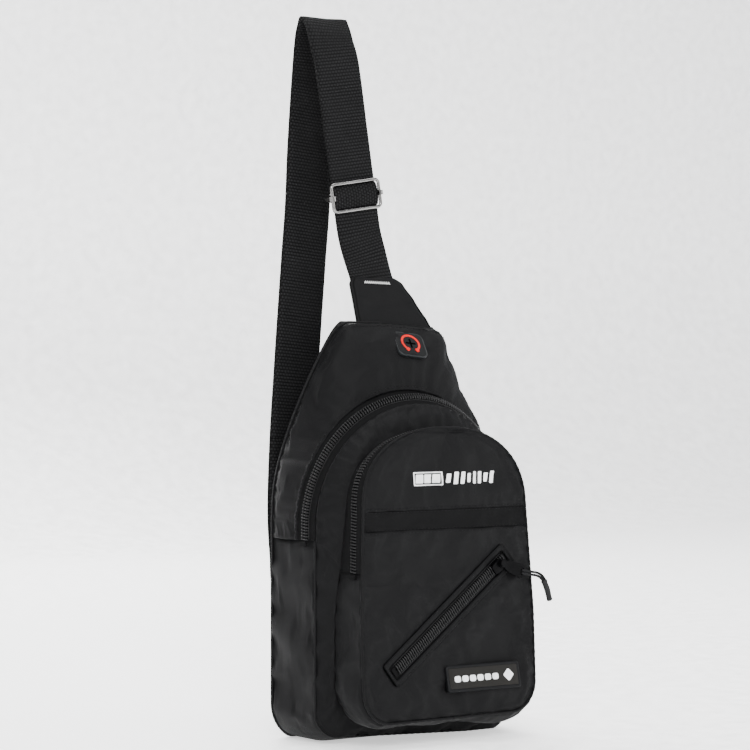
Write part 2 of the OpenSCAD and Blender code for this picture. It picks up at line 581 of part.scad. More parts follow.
slider_z = 132;            // the pocket's slider waits here, just above its end bar
side_lean = atan((pocket_w - pocket_arch_w) / (pocket_arch_z - taper_z));
slide_k = (slider_z - pocket_split) / (pocket_arch_z - pocket_split);
slider_at = pocket_coil_line[0] + (pocket_coil_line[1] - pocket_coil_line[0]) * slide_k;
slide_dir = unit(pocket_coil_line[1] - pocket_coil_line[0]);
pull_in = 0.6;             // the pocket's pull hangs a little nearer the vertical than its zip
module at_pocket() { translate(slider_at) rotate([-asin(slide_dir.y), -side_lean, 0]) rotate([0, -90, 180]) children(); }
module at_pocket_pull() { at_pocket() translate([0, 0, pivot_z]) rotate([0, -pull_in, 0]) children(); }
module pocket_slider() { color(gunmetal) at_pocket() { slider_body(2.4); slider_bridge(); } }
module pocket_pull() { color(gunmetal) at_pocket_pull() flip_pull(); }
module pocket_pull_cord_a() { color(tape_black) at_pocket_pull() hanging_cord(1); }
module pocket_pull_cord_b() { color(tape_black) at_pocket_pull() hanging_cord(-1); }
module pocket_pull_end() { color(tape_black) at_pocket_pull() hanging_end(); }

diag_rest = 60;            // the slanted zip's slider at its closed end
pull_turn = 122;           // the pull points to the right and slightly down
module at_diag() { on_diag() translate([diag_rest, 0, -0.4]) children(); }
module at_diag_pull() { at_diag() translate([post_x, 0, pivot_z]) rotate([0, 0, pull_turn]) children(); }
module diag_slider() {
    color(gunmetal) at_diag() {
        slider_body(2.4);
        translate([post_x, 0, plate_z + plate_t - eps]) cylinder(r = 1.5, h = 2.2, $fn = 32);
        translate([post_x, 0, 6.2]) cylinder(r = 2.5, h = 0.8, $fn = 32);
    }
}
module diag_pull() { color(gunmetal) at_diag_pull() swivel_pull(); }
// the slanted zip's cord leaves the pull and turns down over the edge of the pocket
diag_cord = [[-20.2, 0, 0], [-24, -0.8, 0], [-28, -1.8, 0], [-32, -2.6, 0], [-36, -2.4, 0], [-39.8, -0.6, 0],
    [-43.2, 2.4, 0], [-46.4, 6, 0], [-49, 10.4, 0]];
module diag_strand(side) {
    n = len(diag_cord);
    cord_tube([for (i = [0:n - 1]) let (t = tangent(diag_cord, i)) diag_cord[i] + side * cord_gap * [-t.y, t.x, 0]],
        cord_r, [0, 0, 1]);
}
module diag_pull_cord_a() { color(tape_black) at_diag_pull() diag_strand(1); }
module diag_pull_cord_b() { color(tape_black) at_diag_pull() diag_strand(-1); }
module diag_pull_end() {
    a = diag_cord[5];
    b = diag_cord[8];
    color(tape_black) at_diag_pull() translate((a + b) / 2) rotate([0, 0, atan2(b.y - a.y, b.x - a.x)])
        translate([1, 0, 0]) rotate([0, 90, 0]) cylinder(r = 2.3, h = norm(b - a) + 2, center = true, $fn = 32);
}

back_panel();
back_foam();
inner_pocket();
main_gusset();
yoke();
main_front_panel();
main_tape_rear();
main_tape_front();
main_coil();
main_zip_ends();
pocket_gusset();
pocket_tape_rear();
pocket_tape_front();
pocket_coil();
pocket_zip_ends();
pocket_front_lower();
pocket_band();
pocket_front_upper();
diag_welts();
diag_tapes();
diag_coil();
diag_zip_ends();
diag_pocket_bag();
rubber_label();
chest_print();
earphone_port();
strap_tab();
tab_bartack();
strap_webbing();
strap_return();
strap_return_front();
strap_end_loop();
adjuster_frame();
adjuster_bar();
anchor_tab();
anchor_ring();
main_slider();
main_pull();
main_pull_cord_a();
main_pull_cord_b();
main_pull_end();
pocket_slider();
pocket_pull();
pocket_pull_cord_a();
pocket_pull_cord_b();
pocket_pull_end();
diag_slider();
diag_pull();
diag_pull_cord_a();
diag_pull_cord_b();
diag_pull_end();
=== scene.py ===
"""A black teardrop sling bag: the looks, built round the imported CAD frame.

Lengths in this script are millimetres unless a name says otherwise, and MM turns them into
Blender's metres. The front faces -Y, +X is to the viewer's right and the base stands at z = 0.
"""
import math

import bmesh
import bpy
import numpy as np
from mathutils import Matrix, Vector, noise


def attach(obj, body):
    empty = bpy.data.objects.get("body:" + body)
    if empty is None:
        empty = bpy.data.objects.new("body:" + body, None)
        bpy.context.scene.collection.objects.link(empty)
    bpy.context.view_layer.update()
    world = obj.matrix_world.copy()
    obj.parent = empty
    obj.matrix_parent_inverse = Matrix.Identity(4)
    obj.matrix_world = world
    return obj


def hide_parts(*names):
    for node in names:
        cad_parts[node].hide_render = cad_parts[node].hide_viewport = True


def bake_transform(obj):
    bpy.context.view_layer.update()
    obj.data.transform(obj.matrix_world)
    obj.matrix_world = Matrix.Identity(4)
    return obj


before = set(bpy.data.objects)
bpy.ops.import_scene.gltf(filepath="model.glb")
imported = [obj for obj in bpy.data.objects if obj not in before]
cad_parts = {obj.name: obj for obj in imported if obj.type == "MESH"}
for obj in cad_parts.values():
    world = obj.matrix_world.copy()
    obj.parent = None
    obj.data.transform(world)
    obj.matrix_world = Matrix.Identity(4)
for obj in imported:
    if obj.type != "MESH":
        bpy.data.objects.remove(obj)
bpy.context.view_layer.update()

MM = 0.001

# ---------------------------------------------------------------- sizes, as the CAD has them

HALF_W, BAG_H, BAG_D = 87.0, 296.0, 50.0
CORNER_R, GUSSET_H, ARCH_Z, ARCH_R = 25.0, 143.0, 157.0, 86.0
BACK_Y, SEAM_Y = BAG_D / 2, -BAG_D / 2 - 1
RIDGE_Z, RIDGE_IN, SHOULDER_Z, RIDGE_HALF = 200.0, 22.0, 182.0, 45.0
COIL_Y, COIL_RISE, TAPE_HALF = -16.0, 9.0, 10.0
TAPE_SLOPE = math.radians(33)
COIL_TILT = math.atan(COIL_RISE / ARCH_R)
COIL_TOP = ARCH_Z + ARCH_R * math.cos(COIL_TILT)
POCKET_W, POCKET_Z, POCKET_TOP, POCKET_SPLIT = 75.0, 19.0, 221.0, 122.0
POCKET_Y, POCKET_LEAN, TAPER_Z = 71.0, 10.0, 90.0
POCKET_ARCH_Z, POCKET_ARCH_W, POCKET_POW, POCKET_R = 165.0, 71.0, 2.3, 22.0
POCKET_COIL_BACK = 9.0
BAND_Z0, BAND_Z1 = 150.5, 164.5
DIAG_ANGLE, DIAG_X, DIAG_Z, DIAG_LEN, DIAG_OFF = math.radians(37), -5.5, 86.5, 130.0, 7.0
SLOT_W = 14.0
WEB_W, WEB_T = 38.0, 1.6
PANEL_T = 3.0
LEAN = math.atan(POCKET_LEAN / (POCKET_TOP - POCKET_Z))
ARCH_N, LEG_N, CORNER_N = 96, 10, 14


# ---------------------------------------------------------------- camera, light and floor

def add_object(name, data):
    obj = bpy.data.objects.new(name, data)
    bpy.context.collection.objects.link(obj)
    return obj


def look(obj, direction):
    """Turns a camera or a light so that it looks along a direction."""
    obj.rotation_euler = Vector(direction).to_track_quat("-Z", "Y").to_euler()


def make_camera():
    azimuth, distance, height = math.radians(-36.4), 1.833, 0.262
    back = Vector((math.sin(azimuth), -math.cos(azimuth), 0))
    data = bpy.data.cameras.new("camera")
    data.lens, data.sensor_width = 122.4, 36
    data.shift_x, data.shift_y = -0.0341, -0.0067
    camera = add_object("camera", data)
    camera.location = back * distance + Vector((0, -0.011, height))
    look(camera, -back)
    bpy.context.scene.camera = camera


def area_light(name, place, size, watts):
    """A rectangular light that faces the middle of the bag. Its place and size are in metres."""
    data = bpy.data.lights.new(name, "AREA")
    data.shape, data.size, data.size_y, data.energy = "RECTANGLE", size[0], size[1], watts
    light = add_object(name, data)
    light.location = place
    look(light, Vector((0, 0, 0.24)) - Vector(place))


make_camera()
area_light("key", (-1.1, -1.9, 1.3), (0.9, 0.9), 68)
area_light("fill", (1.6, -1.2, 0.8), (1.0, 1.4), 22)
area_light("top", (0.1, 0.1, 1.9), (1.2, 1.2), 38)
area_light("back", (0.3, 1.7, 1.1), (1.5, 1.2), 46)

world = bpy.data.worlds.new("studio")
world.use_nodes = True
sky = world.node_tree.nodes["Background"].inputs
sky["Color"].default_value, sky["Strength"].default_value = (0.93, 0.94, 0.96, 1), 1.0
bpy.context.scene.world = world


# ---------------------------------------------------------------- materials

class Shading:
    """The nodes of one principled material. The named sockets hold what is the same all over."""

    def __init__(self, name, colour, rough, **sockets):
        self.mat = bpy.data.materials.new(name)
        self.mat.use_nodes = True
        self.tree = self.mat.node_tree
        self.shader = self.tree.nodes["Principled BSDF"]
        self.coords = self.tree.nodes.new("ShaderNodeTexCoord").outputs
        self.shader.inputs["Base Color"].default_value = (*colour, 1)
        self.shader.inputs["Roughness"].default_value = rough
        for key, value in sockets.items():
            self.shader.inputs[key.replace("_", " ")].default_value = value

    def maths(self, kind, a, b=0):
        """One step of arithmetic, on numbers or on the outputs of nodes."""
        item = self.tree.nodes.new("ShaderNodeMath")
        item.operation = kind
        for socket, value in zip(item.inputs, (a, b)):
            if isinstance(value, (int, float)):
                socket.default_value = value
            else:
                self.tree.links.new(value, socket)
        return item.outputs[0]

    def uv(self):
        """The two lengths of the UV map, in mm."""
        split = self.tree.nodes.new("ShaderNodeSeparateXYZ")
        self.tree.links.new(self.coords["UV"], split.inputs[0])
        return split.outputs[0], split.outputs[1]

    def noise(self, space, scale, detail):
        item = self.tree.nodes.new("ShaderNodeTexNoise")
        item.inputs["Scale"].default_value, item.inputs["Detail"].default_value = scale, detail
        self.tree.links.new(self.coords[space], item.inputs["Vector"])
        return item.outputs["Fac"]

    def bump(self, height, strength, distance):
        item = self.tree.nodes.new("ShaderNodeBump")
        item.inputs["Strength"].default_value = strength
        item.inputs["Distance"].default_value = distance * MM
        self.tree.links.new(height, item.inputs["Height"])
        self.tree.links.new(item.outputs[0], self.shader.inputs["Normal"])

    def ramp(self, value, socket, *stops):
        """Drives a socket of the shader by a value, through colours or greys at given values."""
        item = self.tree.nodes.new("ShaderNodeValToRGB")
        marks = item.color_ramp.elements
        marks[0].position, marks[1].position = stops[0][0], stops[-1][0]
        marks[0].color, marks[1].color = (*stops[0][1], 1), (*stops[-1][1], 1)
        for place, colour in stops[1:-1]:
            marks.new(place).color = (*colour, 1)
        self.tree.links.new(value, item.inputs[0])
        self.tree.links.new(item.outputs[0], self.shader.inputs[socket])


def scaled(colour, k):
    return tuple(c * k for c in colour)


def woven(name, colour, rough, warp, weft, depth, blotch=0.12, sheen=0.0, diagonal=0.0, gaps=0.25,
          gloss=0.18):
    """Cloth with a true weave: warp and weft are its periods in mm, read from the UV map, also in mm.
    gaps is how much darker the hollows between the threads are coloured than the threads: painted shade."""
    nodes = Shading(name, colour, rough, Sheen_Weight=sheen, Sheen_Roughness=0.5, Specular_IOR_Level=gloss)
    maths = nodes.maths
    u, v = nodes.uv()
    u = maths("ADD", u, maths("MULTIPLY", v, diagonal))
    across = maths("SINE", maths("MULTIPLY", u, 2 * math.pi / warp))
    along = maths("SINE", maths("MULTIPLY", v, 2 * math.pi / weft))
    product = maths("MULTIPLY", across, along)
    weave = maths("ADD", maths("MULTIPLY", product, 0.35), maths("MULTIPLY", along, 0.2))
    height = maths("ADD", weave, maths("MULTIPLY", nodes.noise("UV", 2.4, 3.0), 0.25))
    nodes.bump(height, 0.55, depth)
    cloud = nodes.noise("Object", 28.0, 4.0)
    # painted shade: the colour follows the weave's height and is darker in its hollows; the cloud adds random tone
    shade = maths("ADD", maths("MULTIPLY", cloud, blotch), maths("MULTIPLY", maths("ADD", height, 1.0), gaps))
    middle = blotch * 0.5 + gaps * 1.12
    nodes.ramp(shade, "Base Color", (max(middle - 0.5, 0), scaled(colour, 0.5)),
               (min(middle + 0.5, 1), scaled(colour, 1.5)))
    nodes.ramp(cloud, "Roughness", (0.3, (rough - 0.05,) * 3), (0.7, (rough + 0.05,) * 3))
    return nodes.mat


def webbing_weave(name, colour, dash=2.6, row=2.3):
    """Strap webbing: rows of short dashes across the strap, each row half a dash off its neighbours. The colour
    follows the dashes' height and is dark in the hollows between them: painted shade.
    """
    nodes = Shading(name, colour, 0.65, Specular_IOR_Level=0.05)
    maths = nodes.maths
    u, v = nodes.uv()
    drift = maths("MULTIPLY", nodes.noise("UV", 0.35, 2.0), 0.7)
    line = maths("DIVIDE", maths("ADD", v, drift), row)
    place = maths("ADD", maths("DIVIDE", u, dash), maths("MULTIPLY", maths("FLOOR", line), 0.5))
    ridge, bead = (maths("ABSOLUTE", maths("SINE", maths("MULTIPLY", value, math.pi))) for value in (line, place))
    height = maths("MULTIPLY", maths("POWER", ridge, 0.7), maths("POWER", bead, 0.45))
    nodes.bump(height, 0.8, 0.5)
    cloud = nodes.noise("Object", 45.0, 4.0)
    # painted shade: the hollows between the dashes are coloured near black and their tops light; the cloud adds random
    # tone
    shade = maths("MULTIPLY", height, maths("ADD", maths("MULTIPLY", cloud, 0.5), 0.75))
    nodes.ramp(shade, "Base Color", (0.12, scaled(colour, 0.1)), (0.6, scaled(colour, 0.8)),
               (0.95, scaled(colour, 1.7)))
    return nodes.mat


def moulded(name, colour, rough, grain=900.0, depth=0.05, metallic=0.0, spread=0.08, **sockets):
    """Rubber, plastic or metal with a fine grain and a little variation in its gloss."""
    nodes = Shading(name, colour, rough, Metallic=metallic, **sockets)
    nodes.bump(nodes.noise("Object", grain, 2.0), 0.4, depth)
    wide = nodes.noise("Object", 60.0, 5.0)
    nodes.ramp(wide, "Roughness", (0.35, (max(rough - spread, 0.02),) * 3), (0.65, (rough + spread,) * 3))
    nodes.ramp(wide, "Base Color", (0.3, scaled(colour, 0.88)), (0.7, scaled(colour, 1.1)))
    return nodes.mat


SHELL = woven("shell_fabric", (0.0046, 0.0046, 0.0049), 0.58, 0.7, 0.7, 0.12, diagonal=1.0, gloss=0.068)
RIBBON = woven("band_ribbon", (0.0058, 0.0058, 0.006), 0.7, 0.9, 0.9, 0.16, gloss=0.03)
TAPE = woven("zip_tape", (0.0048, 0.0048, 0.005), 0.75, 1.2, 0.8, 0.22, gloss=0.03)
LINING = woven("lining", (0.02, 0.02, 0.021), 0.5, 0.4, 0.4, 0.06, sheen=0.1)
WEBBING = webbing_weave("webbing", (0.0072, 0.0072, 0.0075))
# the back mesh's holes are coloured much darker than its strands: painted shade
MESH_PAD = woven("back_mesh", (0.0095, 0.0095, 0.0098), 0.75, 2.6, 2.6, 0.7, gaps=0.9, gloss=0.04)
NYLON = moulded("zip_coil", (0.0068, 0.0068, 0.0071), 0.4, grain=1500, Specular_IOR_Level=0.25)
NICKEL = moulded("nickel", (0.2, 0.197, 0.193), 0.2, grain=400, depth=0.02, metallic=1.0, spread=0.05)
ZINC = moulded("zip_metal", (0.0016, 0.0016, 0.0018), 0.3, grain=600, depth=0.03, Specular_IOR_Level=0.05)
# painted highlight: a lighter metal for the eased edges of sliders and pulls, so that their edges show light lines
EDGE_HIGHLIGHT_ZINC = moulded("zip_metal_edge_highlight", (0.09, 0.09, 0.092), 0.34, grain=600, depth=0.03, metallic=0.5)
RUBBER = moulded("rubber", (0.0045, 0.0047, 0.0052), 0.5, grain=1200, Specular_IOR_Level=0.08)
LABEL_FACE = moulded("label_face", (0.0115, 0.0108, 0.0098), 0.55, grain=1600, depth=0.04,
                     Specular_IOR_Level=0.08)
SMOKY = moulded("clear_rubber", (0.013, 0.0145, 0.0155), 0.4, grain=900, depth=0.03, Specular_IOR_Level=0.2)
RED_PRINT = moulded("red_print", (0.52, 0.008, 0.005), 0.5, Specular_IOR_Level=0.1)
PATCH = moulded("port_rubber", (0.006, 0.0063, 0.0066), 0.5, grain=1200, Specular_IOR_Level=0.08)
# painted shade: near-black for the port's cross cut, which is dark only from the shade inside it
SLIT_SHADE = moulded("painted_slit_shade", (0.0008, 0.0008, 0.0008), 0.9, Specular_IOR_Level=0.0)
WHITE_PRINT = moulded("white_print", (0.82, 0.82, 0.82), 0.45, grain=1400)
WHITE_THREAD = woven("white_thread", (0.8, 0.8, 0.79), 0.6, 0.7, 0.7, 0.2, sheen=0.1)
THREAD = woven("black_thread", (0.006, 0.006, 0.0065), 0.6, 0.5, 0.5, 0.1, gloss=0.08)
CORD = woven("pull_cord", (0.006, 0.006, 0.0064), 0.6, 1.0, 1.0, 0.2, diagonal=1.0, gloss=0.08)
CORD_END = moulded("cord_end", (0.006, 0.006, 0.0064), 0.45, Specular_IOR_Level=0.15)
FOAM = moulded("foam", (0.1, 0.1, 0.1), 0.8, grain=500, depth=0.3)
FLOOR = moulded("floor", (0.92, 0.92, 0.92), 0.6, grain=200, depth=0.01, Emission_Color=(1, 1, 1, 1),
                Emission_Strength=0.8)


def make_floor():
    """A floor that rises behind the bag in a quarter circle, in metres."""
    mesh = bpy.data.meshes.new("floor")
    half, rise, run, bend = 3.0, 2.6, 1.6, 0.5
    rows = [(-half, 0.0), (run, 0.0)]
    rows += [(run + bend * math.sin(a), bend - bend * math.cos(a)) for a in np.linspace(0.1, math.pi / 2, 14)]
    rows.append((run + bend, rise))
    verts = [(x, y, z) for y, z in rows for x in (-half, half)]
    faces = [(2 * i, 2 * i + 1, 2 * i + 3, 2 * i + 2) for i in range(len(rows) - 1)]
    mesh.from_pydata(verts, [], faces)
    mesh.shade_smooth()
    mesh.materials.append(FLOOR)
    add_object("floor", mesh)


make_floor()


# ---------------------------------------------------------------- mesh helpers

def unit(v):
    v = np.asarray(v, float)
    length = np.linalg.norm(v, axis=-1, keepdims=True)
    return v / np.where(length < 1e-9, 1, length)


def lengths(path):
    """How far along a path each of its points is."""
    return np.concatenate([[0], np.cumsum(np.linalg.norm(np.diff(path, axis=0), axis=1))])


def points_at(at, length, path):
    """The points of a path at given lengths along it, where length gives those of its own points."""
    return np.stack([np.interp(at, length, path[:, k]) for k in range(3)], axis=1)


def new_mesh(name, verts, faces):
    """A mesh in metres from points in mm."""
    mesh = bpy.data.meshes.new(name)
    points = [tuple(p) for p in np.asarray(verts, float) * MM]
    mesh.from_pydata(points, [], [tuple(int(i) for i in f) for f in faces])
    return mesh


def finish_piece(piece, nodes=()):
    """Hides the CAD nodes that a piece stands for, and gives the piece back."""
    if nodes:
        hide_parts(*nodes)
    return piece


def build(name, verts, faces, material, uvs, body="bag"):
    """Makes an object from points in mm. uvs, in mm, is one pair per point."""
    mesh = new_mesh(name, verts, faces)
    mesh.materials.append(material)
    layer = mesh.uv_layers.new(name="weave")
    index = np.empty(len(mesh.loops), dtype=np.int32)
    mesh.loops.foreach_get("vertex_index", index)
    layer.data.foreach_set("uv", np.asarray(uvs, float)[index].astype(np.float32).ravel())
    mesh.validate()
    fixer = bmesh.new()
    fixer.from_mesh(mesh)
    bmesh.ops.recalc_face_normals(fixer, faces=fixer.faces)
    fixer.to_mesh(mesh)
    fixer.free()
    mesh.shade_smooth()
    obj = add_object(name, mesh)
    if body:
        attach(obj, body)
    return obj


def smooth_step(x):
    x = np.clip(x, 0, 1)
    return x * x * (3 - 2 * x)


def grid_normals(grid, closed=False):
    if closed:
        along = np.roll(grid, -1, axis=0) - np.roll(grid, 1, axis=0)
    else:
        along = np.gradient(grid, axis=0)
    return unit(np.cross(along, np.gradient(grid, axis=1)))


def grid_uvs(grid):
    """Lengths along and across a grid, so that the weave keeps its scale on it."""
    middle = grid.shape[1] // 2
    along = lengths(grid[:, middle])
    across = np.concatenate([np.zeros((grid.shape[0], 1)),
                             np.cumsum(np.linalg.norm(np.diff(grid, axis=1), axis=2), axis=1)], axis=1)
    across = across - across[:, middle:middle + 1]
    return np.stack([np.repeat(along[:, None], grid.shape[1], axis=1), across], axis=2)


def sheet_mesh(grid, thick, closed=False, normals=None, chamfer=0.35):
    """Points, faces and UVs of a closed cloth sheet whose outer side is the grid. Its rim is chamfered."""
    ni, nj = grid.shape[:2]
    normals = grid_normals(grid, closed) if normals is None else normals
    outer, inner = grid.copy(), grid - normals * thick
    cut = normals * thick * chamfer
    rim = np.zeros((ni, nj), bool)
    rim[:, 0] = rim[:, -1] = True
    if not closed:
        rim[0, :] = rim[-1, :] = True
    outer[rim] -= cut[rim]
    inner[rim] += cut[rim]
    flat_uv = grid_uvs(grid).reshape(-1, 2)
    m = ni * nj
    faces = []
    steps = ni if closed else ni - 1
    for i in range(steps):
        a, b = i * nj, ((i + 1) % ni) * nj
        for j in range(nj - 1):
            faces.append((a + j, a + j + 1, b + j + 1, b + j))
            faces.append((m + a + j, m + b + j, m + b + j + 1, m + a + j + 1))
        faces.append((a, b, m + b, m + a))
        faces.append((a + nj - 1, m + a + nj - 1, m + b + nj - 1, b + nj - 1))
    if not closed:
        last = (ni - 1) * nj
        for j in range(nj - 1):
            faces.append((j, m + j, m + j + 1, j + 1))
            faces.append((last + j, last + j + 1, m + last + j + 1, m + last + j))
    verts = np.concatenate([outer.reshape(-1, 3), inner.reshape(-1, 3)])
    return verts, faces, np.concatenate([flat_uv, flat_uv])


class Parts:
    """Collects the shapes that one object is made of."""

    def __init__(self):
        self.verts, self.faces, self.uvs, self.count = [], [], [], 0

    def add(self, verts, faces, uvs=None):
        verts = np.asarray(verts, float)
        if uvs is None:
            uvs = np.stack([verts[:, 0] + 0.6 * verts[:, 1], verts[:, 2] + 0.3 * verts[:, 1]], axis=1)
        self.verts.append(verts)
        self.uvs.append(np.asarray(uvs, float))
        self.faces += [tuple(i + self.count for i in f) for f in faces]
        self.count += len(verts)

    def make(self, name, material, nodes=(), body="bag"):
        verts, uvs = np.concatenate(self.verts), np.concatenate(self.uvs)
        return finish_piece(build(name, verts, self.faces, material, uvs, body), nodes)


def tube_mesh(path, radius, sides=8, closed=False, flat=1.0, up=None):
    """A tube along a path. radius may be one number or one per point; flat squashes it along `up`."""
    path = np.asarray(path, float)
    n = len(path)
    radii = np.broadcast_to(np.asarray(radius, float), (n,))
    if closed:
        tangent = unit(np.roll(path, -1, axis=0) - np.roll(path, 1, axis=0))
    else:
        tangent = unit(np.gradient(path, axis=0))
    if up is None:
        up = np.array([0.123, 0.971, 0.205])
    up = np.broadcast_to(np.asarray(up, float), (n, 3))
    side = unit(np.cross(tangent, up))
    top = np.cross(side, tangent)
    angle = np.arange(sides) * 2 * math.pi / sides
    c, n_flat = np.cos(angle)[None, :, None], flat * np.sin(angle)[None, :, None]
    ring = c * side[:, None, :] + n_flat * top[:, None, :]
    verts = (path[:, None, :] + radii[:, None, None] * ring).reshape(-1, 3)
    length = lengths(path)
    uvs = np.stack([np.repeat(length, sides), np.tile(angle, n) * float(np.max(radii))], axis=1)
    faces = []
    for i in range(n if closed else n - 1):
        a, b = i * sides, ((i + 1) % n) * sides
        for j in range(sides):
            k = (j + 1) % sides
            faces.append((a + j, a + k, b + k, b + j))
    if not closed:
        faces.append(tuple(range(sides)))
        faces.append(tuple(range((n - 1) * sides, n * sides))[::-1])
    return verts, faces, uvs


def resample(path, step):
    """The same path with even steps, and the length of each point along it."""
    path = np.asarray(path, float)
    length = lengths(path)
    count = max(2, int(round(length[-1] / step)))
    at = np.linspace(0, length[-1], count + 1)
    return points_at(at, length, path), at


def smooth_path(points, steps):
    """The curve that part.scad draws through the same points."""
    p = np.asarray(points, float)
    out = []
    for i in range(len(p) - 1):
        a, b, c, d = p[max(i - 1, 0)], p[i], p[i + 1], p[min(i + 2, len(p) - 1)]
        last = i == len(p) - 2
        for k in range(steps + (1 if last else 0)):
            t = k / steps
            out.append(0.5 * (2 * b + (c - a) * t + (2 * a - 5 * b + 4 * c - d) * t * t
                              + (3 * b - a - 3 * c + d) * t ** 3))
    return np.array(out)


def wobble(points, size, seed):
    """Smooth noise at points in mm, one value each from about -1 to 1."""
    shift = Vector((seed * 17.3, seed * 5.1, seed * 9.7))
    flat = np.asarray(points, float).reshape(-1, 3)
    values = np.array([noise.noise(Vector(p) / size + shift) for p in flat])
    return values.reshape(np.asarray(points).shape[:-1])


def settled(grid, spare, press, cap, held=(), frames=18, closed=False):
    """Lets a piece of cloth settle under Blender's cloth solver. It is cut too large by `spare`, it is
    held along its rim and at the grid points in `held`, and the padding presses on it from behind.
    No point moves further than cap."""
    ni, nj = grid.shape[:2]
    index = np.arange(ni * nj).reshape(ni, nj)
    steps = ni if closed else ni - 1
    faces = [(index[i, j], index[(i + 1) % ni, j], index[(i + 1) % ni, j + 1], index[i, j + 1])
             for i in range(steps) for j in range(nj - 1)]
    mesh = new_mesh("settling", grid.reshape(-1, 3), faces)
    cloth = add_object("settling", mesh)
    pinned = np.zeros((ni, nj), bool)
    pinned[:, 0] = pinned[:, -1] = True
    if not closed:
        pinned[0] = pinned[-1] = True
    if len(held):
        pinned |= held
    cloth.vertex_groups.new(name="held").add([int(k) for k in index[pinned]], 1.0, "REPLACE")
    solver = cloth.modifiers.new("cloth", "CLOTH")
    values = solver.settings
    values.quality, values.mass = 5, 0.05
    values.tension_stiffness = values.compression_stiffness = 15
    values.shear_stiffness, values.bending_stiffness, values.air_damping = 5, 0.05, 3
    values.vertex_group_mass, values.shrink_min = "held", -spare
    values.use_pressure, values.uniform_pressure_force = True, press
    values.effector_weights.gravity = 0
    solver.collision_settings.use_collision = False
    solver.point_cache.frame_start, solver.point_cache.frame_end = 1, frames
    for frame_number in range(1, frames + 1):
        bpy.context.scene.frame_set(frame_number)
    shape = cloth.evaluated_get(bpy.context.evaluated_depsgraph_get()).data
    moved = np.empty(ni * nj * 3, dtype=np.float32)
    shape.vertices.foreach_get("co", moved)
    bpy.data.objects.remove(cloth)
    bpy.data.meshes.remove(mesh)
    bpy.context.scene.frame_set(1)
    move = moved.reshape(ni, nj, 3) / MM - grid
    length = np.linalg.norm(move, axis=2, keepdims=True)
    return grid + move * np.minimum(1, cap / np.maximum(length, 1e-6))


def stitch_row(parts, path, normals, pitch=3.0, length=2.1, radius=0.26, sink=0.05):
    """A row of thread stitches that lies on a surface, as short tubes that dip in at both ends."""
    path = np.asarray(path, float)
    along = lengths(path)
    normals = np.broadcast_to(np.asarray(normals, float), path.shape)
    count = int(along[-1] / pitch)
    for i in range(count):
        at = (i + 0.5) * along[-1] / count + np.array([-0.5, -0.3, 0, 0.3, 0.5]) * length
        spot, up = points_at(at, along, path), unit(points_at(at, along, normals))
        spot = spot + up * (np.array([-0.35, 0.1, 0.2, 0.1, -0.35])[:, None] * radius * 2 - sink)
        parts.add(*tube_mesh(spot, radius * np.array([0.6, 1, 1, 1, 0.6]), sides=5, up=up))


# ---------------------------------------------------------------- the bag's outlines

def power_arc(angle, power):
    c, s = np.cos(angle), np.sin(angle)
    return np.sign(c) * np.abs(c) ** (2 / power), np.abs(s) ** (2 / power)


def arch_edge(rx, top, y0, y1, foot=GUSSET_H):
    """A long edge of the main zip: an arch on two short legs, from the right foot to the left."""
    leg = np.linspace(foot, ARCH_Z, LEG_N, endpoint=False)
    angle = np.linspace(0, math.pi, ARCH_N + 1)
    right = np.stack([np.full(LEG_N, rx), np.full(LEG_N, y0), leg], axis=1)
    arch = np.stack([rx * np.cos(angle), y0 + (y1 - y0) * np.sin(angle),
                     ARCH_Z + (top - ARCH_Z) * np.sin(angle)], axis=1)
    left = right[::-1] * np.array([-1, 1, 1])
    return np.concatenate([right, arch, left])


DROP, REACH = TAPE_HALF * math.sin(TAPE_SLOPE), TAPE_HALF * math.cos(TAPE_SLOPE)
COIL_APEX_Y = COIL_Y - COIL_RISE
REAR_EDGE = arch_edge(HALF_W, COIL_TOP + DROP, COIL_Y + TAPE_HALF, COIL_APEX_Y + REACH)
COIL_EDGE = arch_edge(ARCH_R, COIL_TOP, COIL_Y, COIL_APEX_Y)
FRONT_EDGE = arch_edge(ARCH_R - 1, COIL_TOP - DROP, COIL_Y - TAPE_HALF, COIL_APEX_Y - REACH)


def shell_radius(angle):
    """The bag's upper outline round the arch's centre: straight sides, sloping shoulders and a ridge."""
    slope = unit([BAG_H - SHOULDER_Z, HALF_W - RIDGE_HALF])
    reach = slope[0] * HALF_W + slope[1] * (SHOULDER_Z - ARCH_Z)
    c, s = np.abs(np.cos(angle)), np.sin(angle)
    return ((c / HALF_W) ** 30 + ((slope[0] * c + slope[1] * s) / reach) ** 30
            + (s / (BAG_H - ARCH_Z)) ** 30) ** (-1 / 30)


def back_face(z):
    """The depth of the back's outer side at a height: it leans to the front above the shoulders."""
    z = np.asarray(z, float)
    rise = np.maximum(z - RIDGE_Z, 0) / (BAG_H - RIDGE_Z)
    return BACK_Y - np.where(z > RIDGE_Z, RIDGE_IN * rise ** 2, 0)


def droop(x, z):
    """How much lower the ridge is at its free right end, where nothing holds it up."""
    return 3.5 * smooth_step((np.asarray(z) - 255) / 35) * smooth_step((np.asarray(x) + 10) / 55)


def ridge_edge(depth=PANEL_T):
    """The back seam from the right foot over the ridge to the left foot, matched to the zip's edges."""
    leg = np.linspace(GUSSET_H, ARCH_Z, LEG_N, endpoint=False)
    angle = np.linspace(0, math.pi, ARCH_N + 1)
    r = shell_radius(angle)
    x, z = r * np.cos(angle), ARCH_Z + r * np.sin(angle)
    arch = np.stack([x, back_face(z) - depth, z - droop(x, z)], axis=1)
    right = np.stack([np.full(LEG_N, HALF_W), np.full(LEG_N, BACK_Y - depth), leg], axis=1)
    return np.concatenate([right, arch, right[::-1] * np.array([-1, 1, 1])])


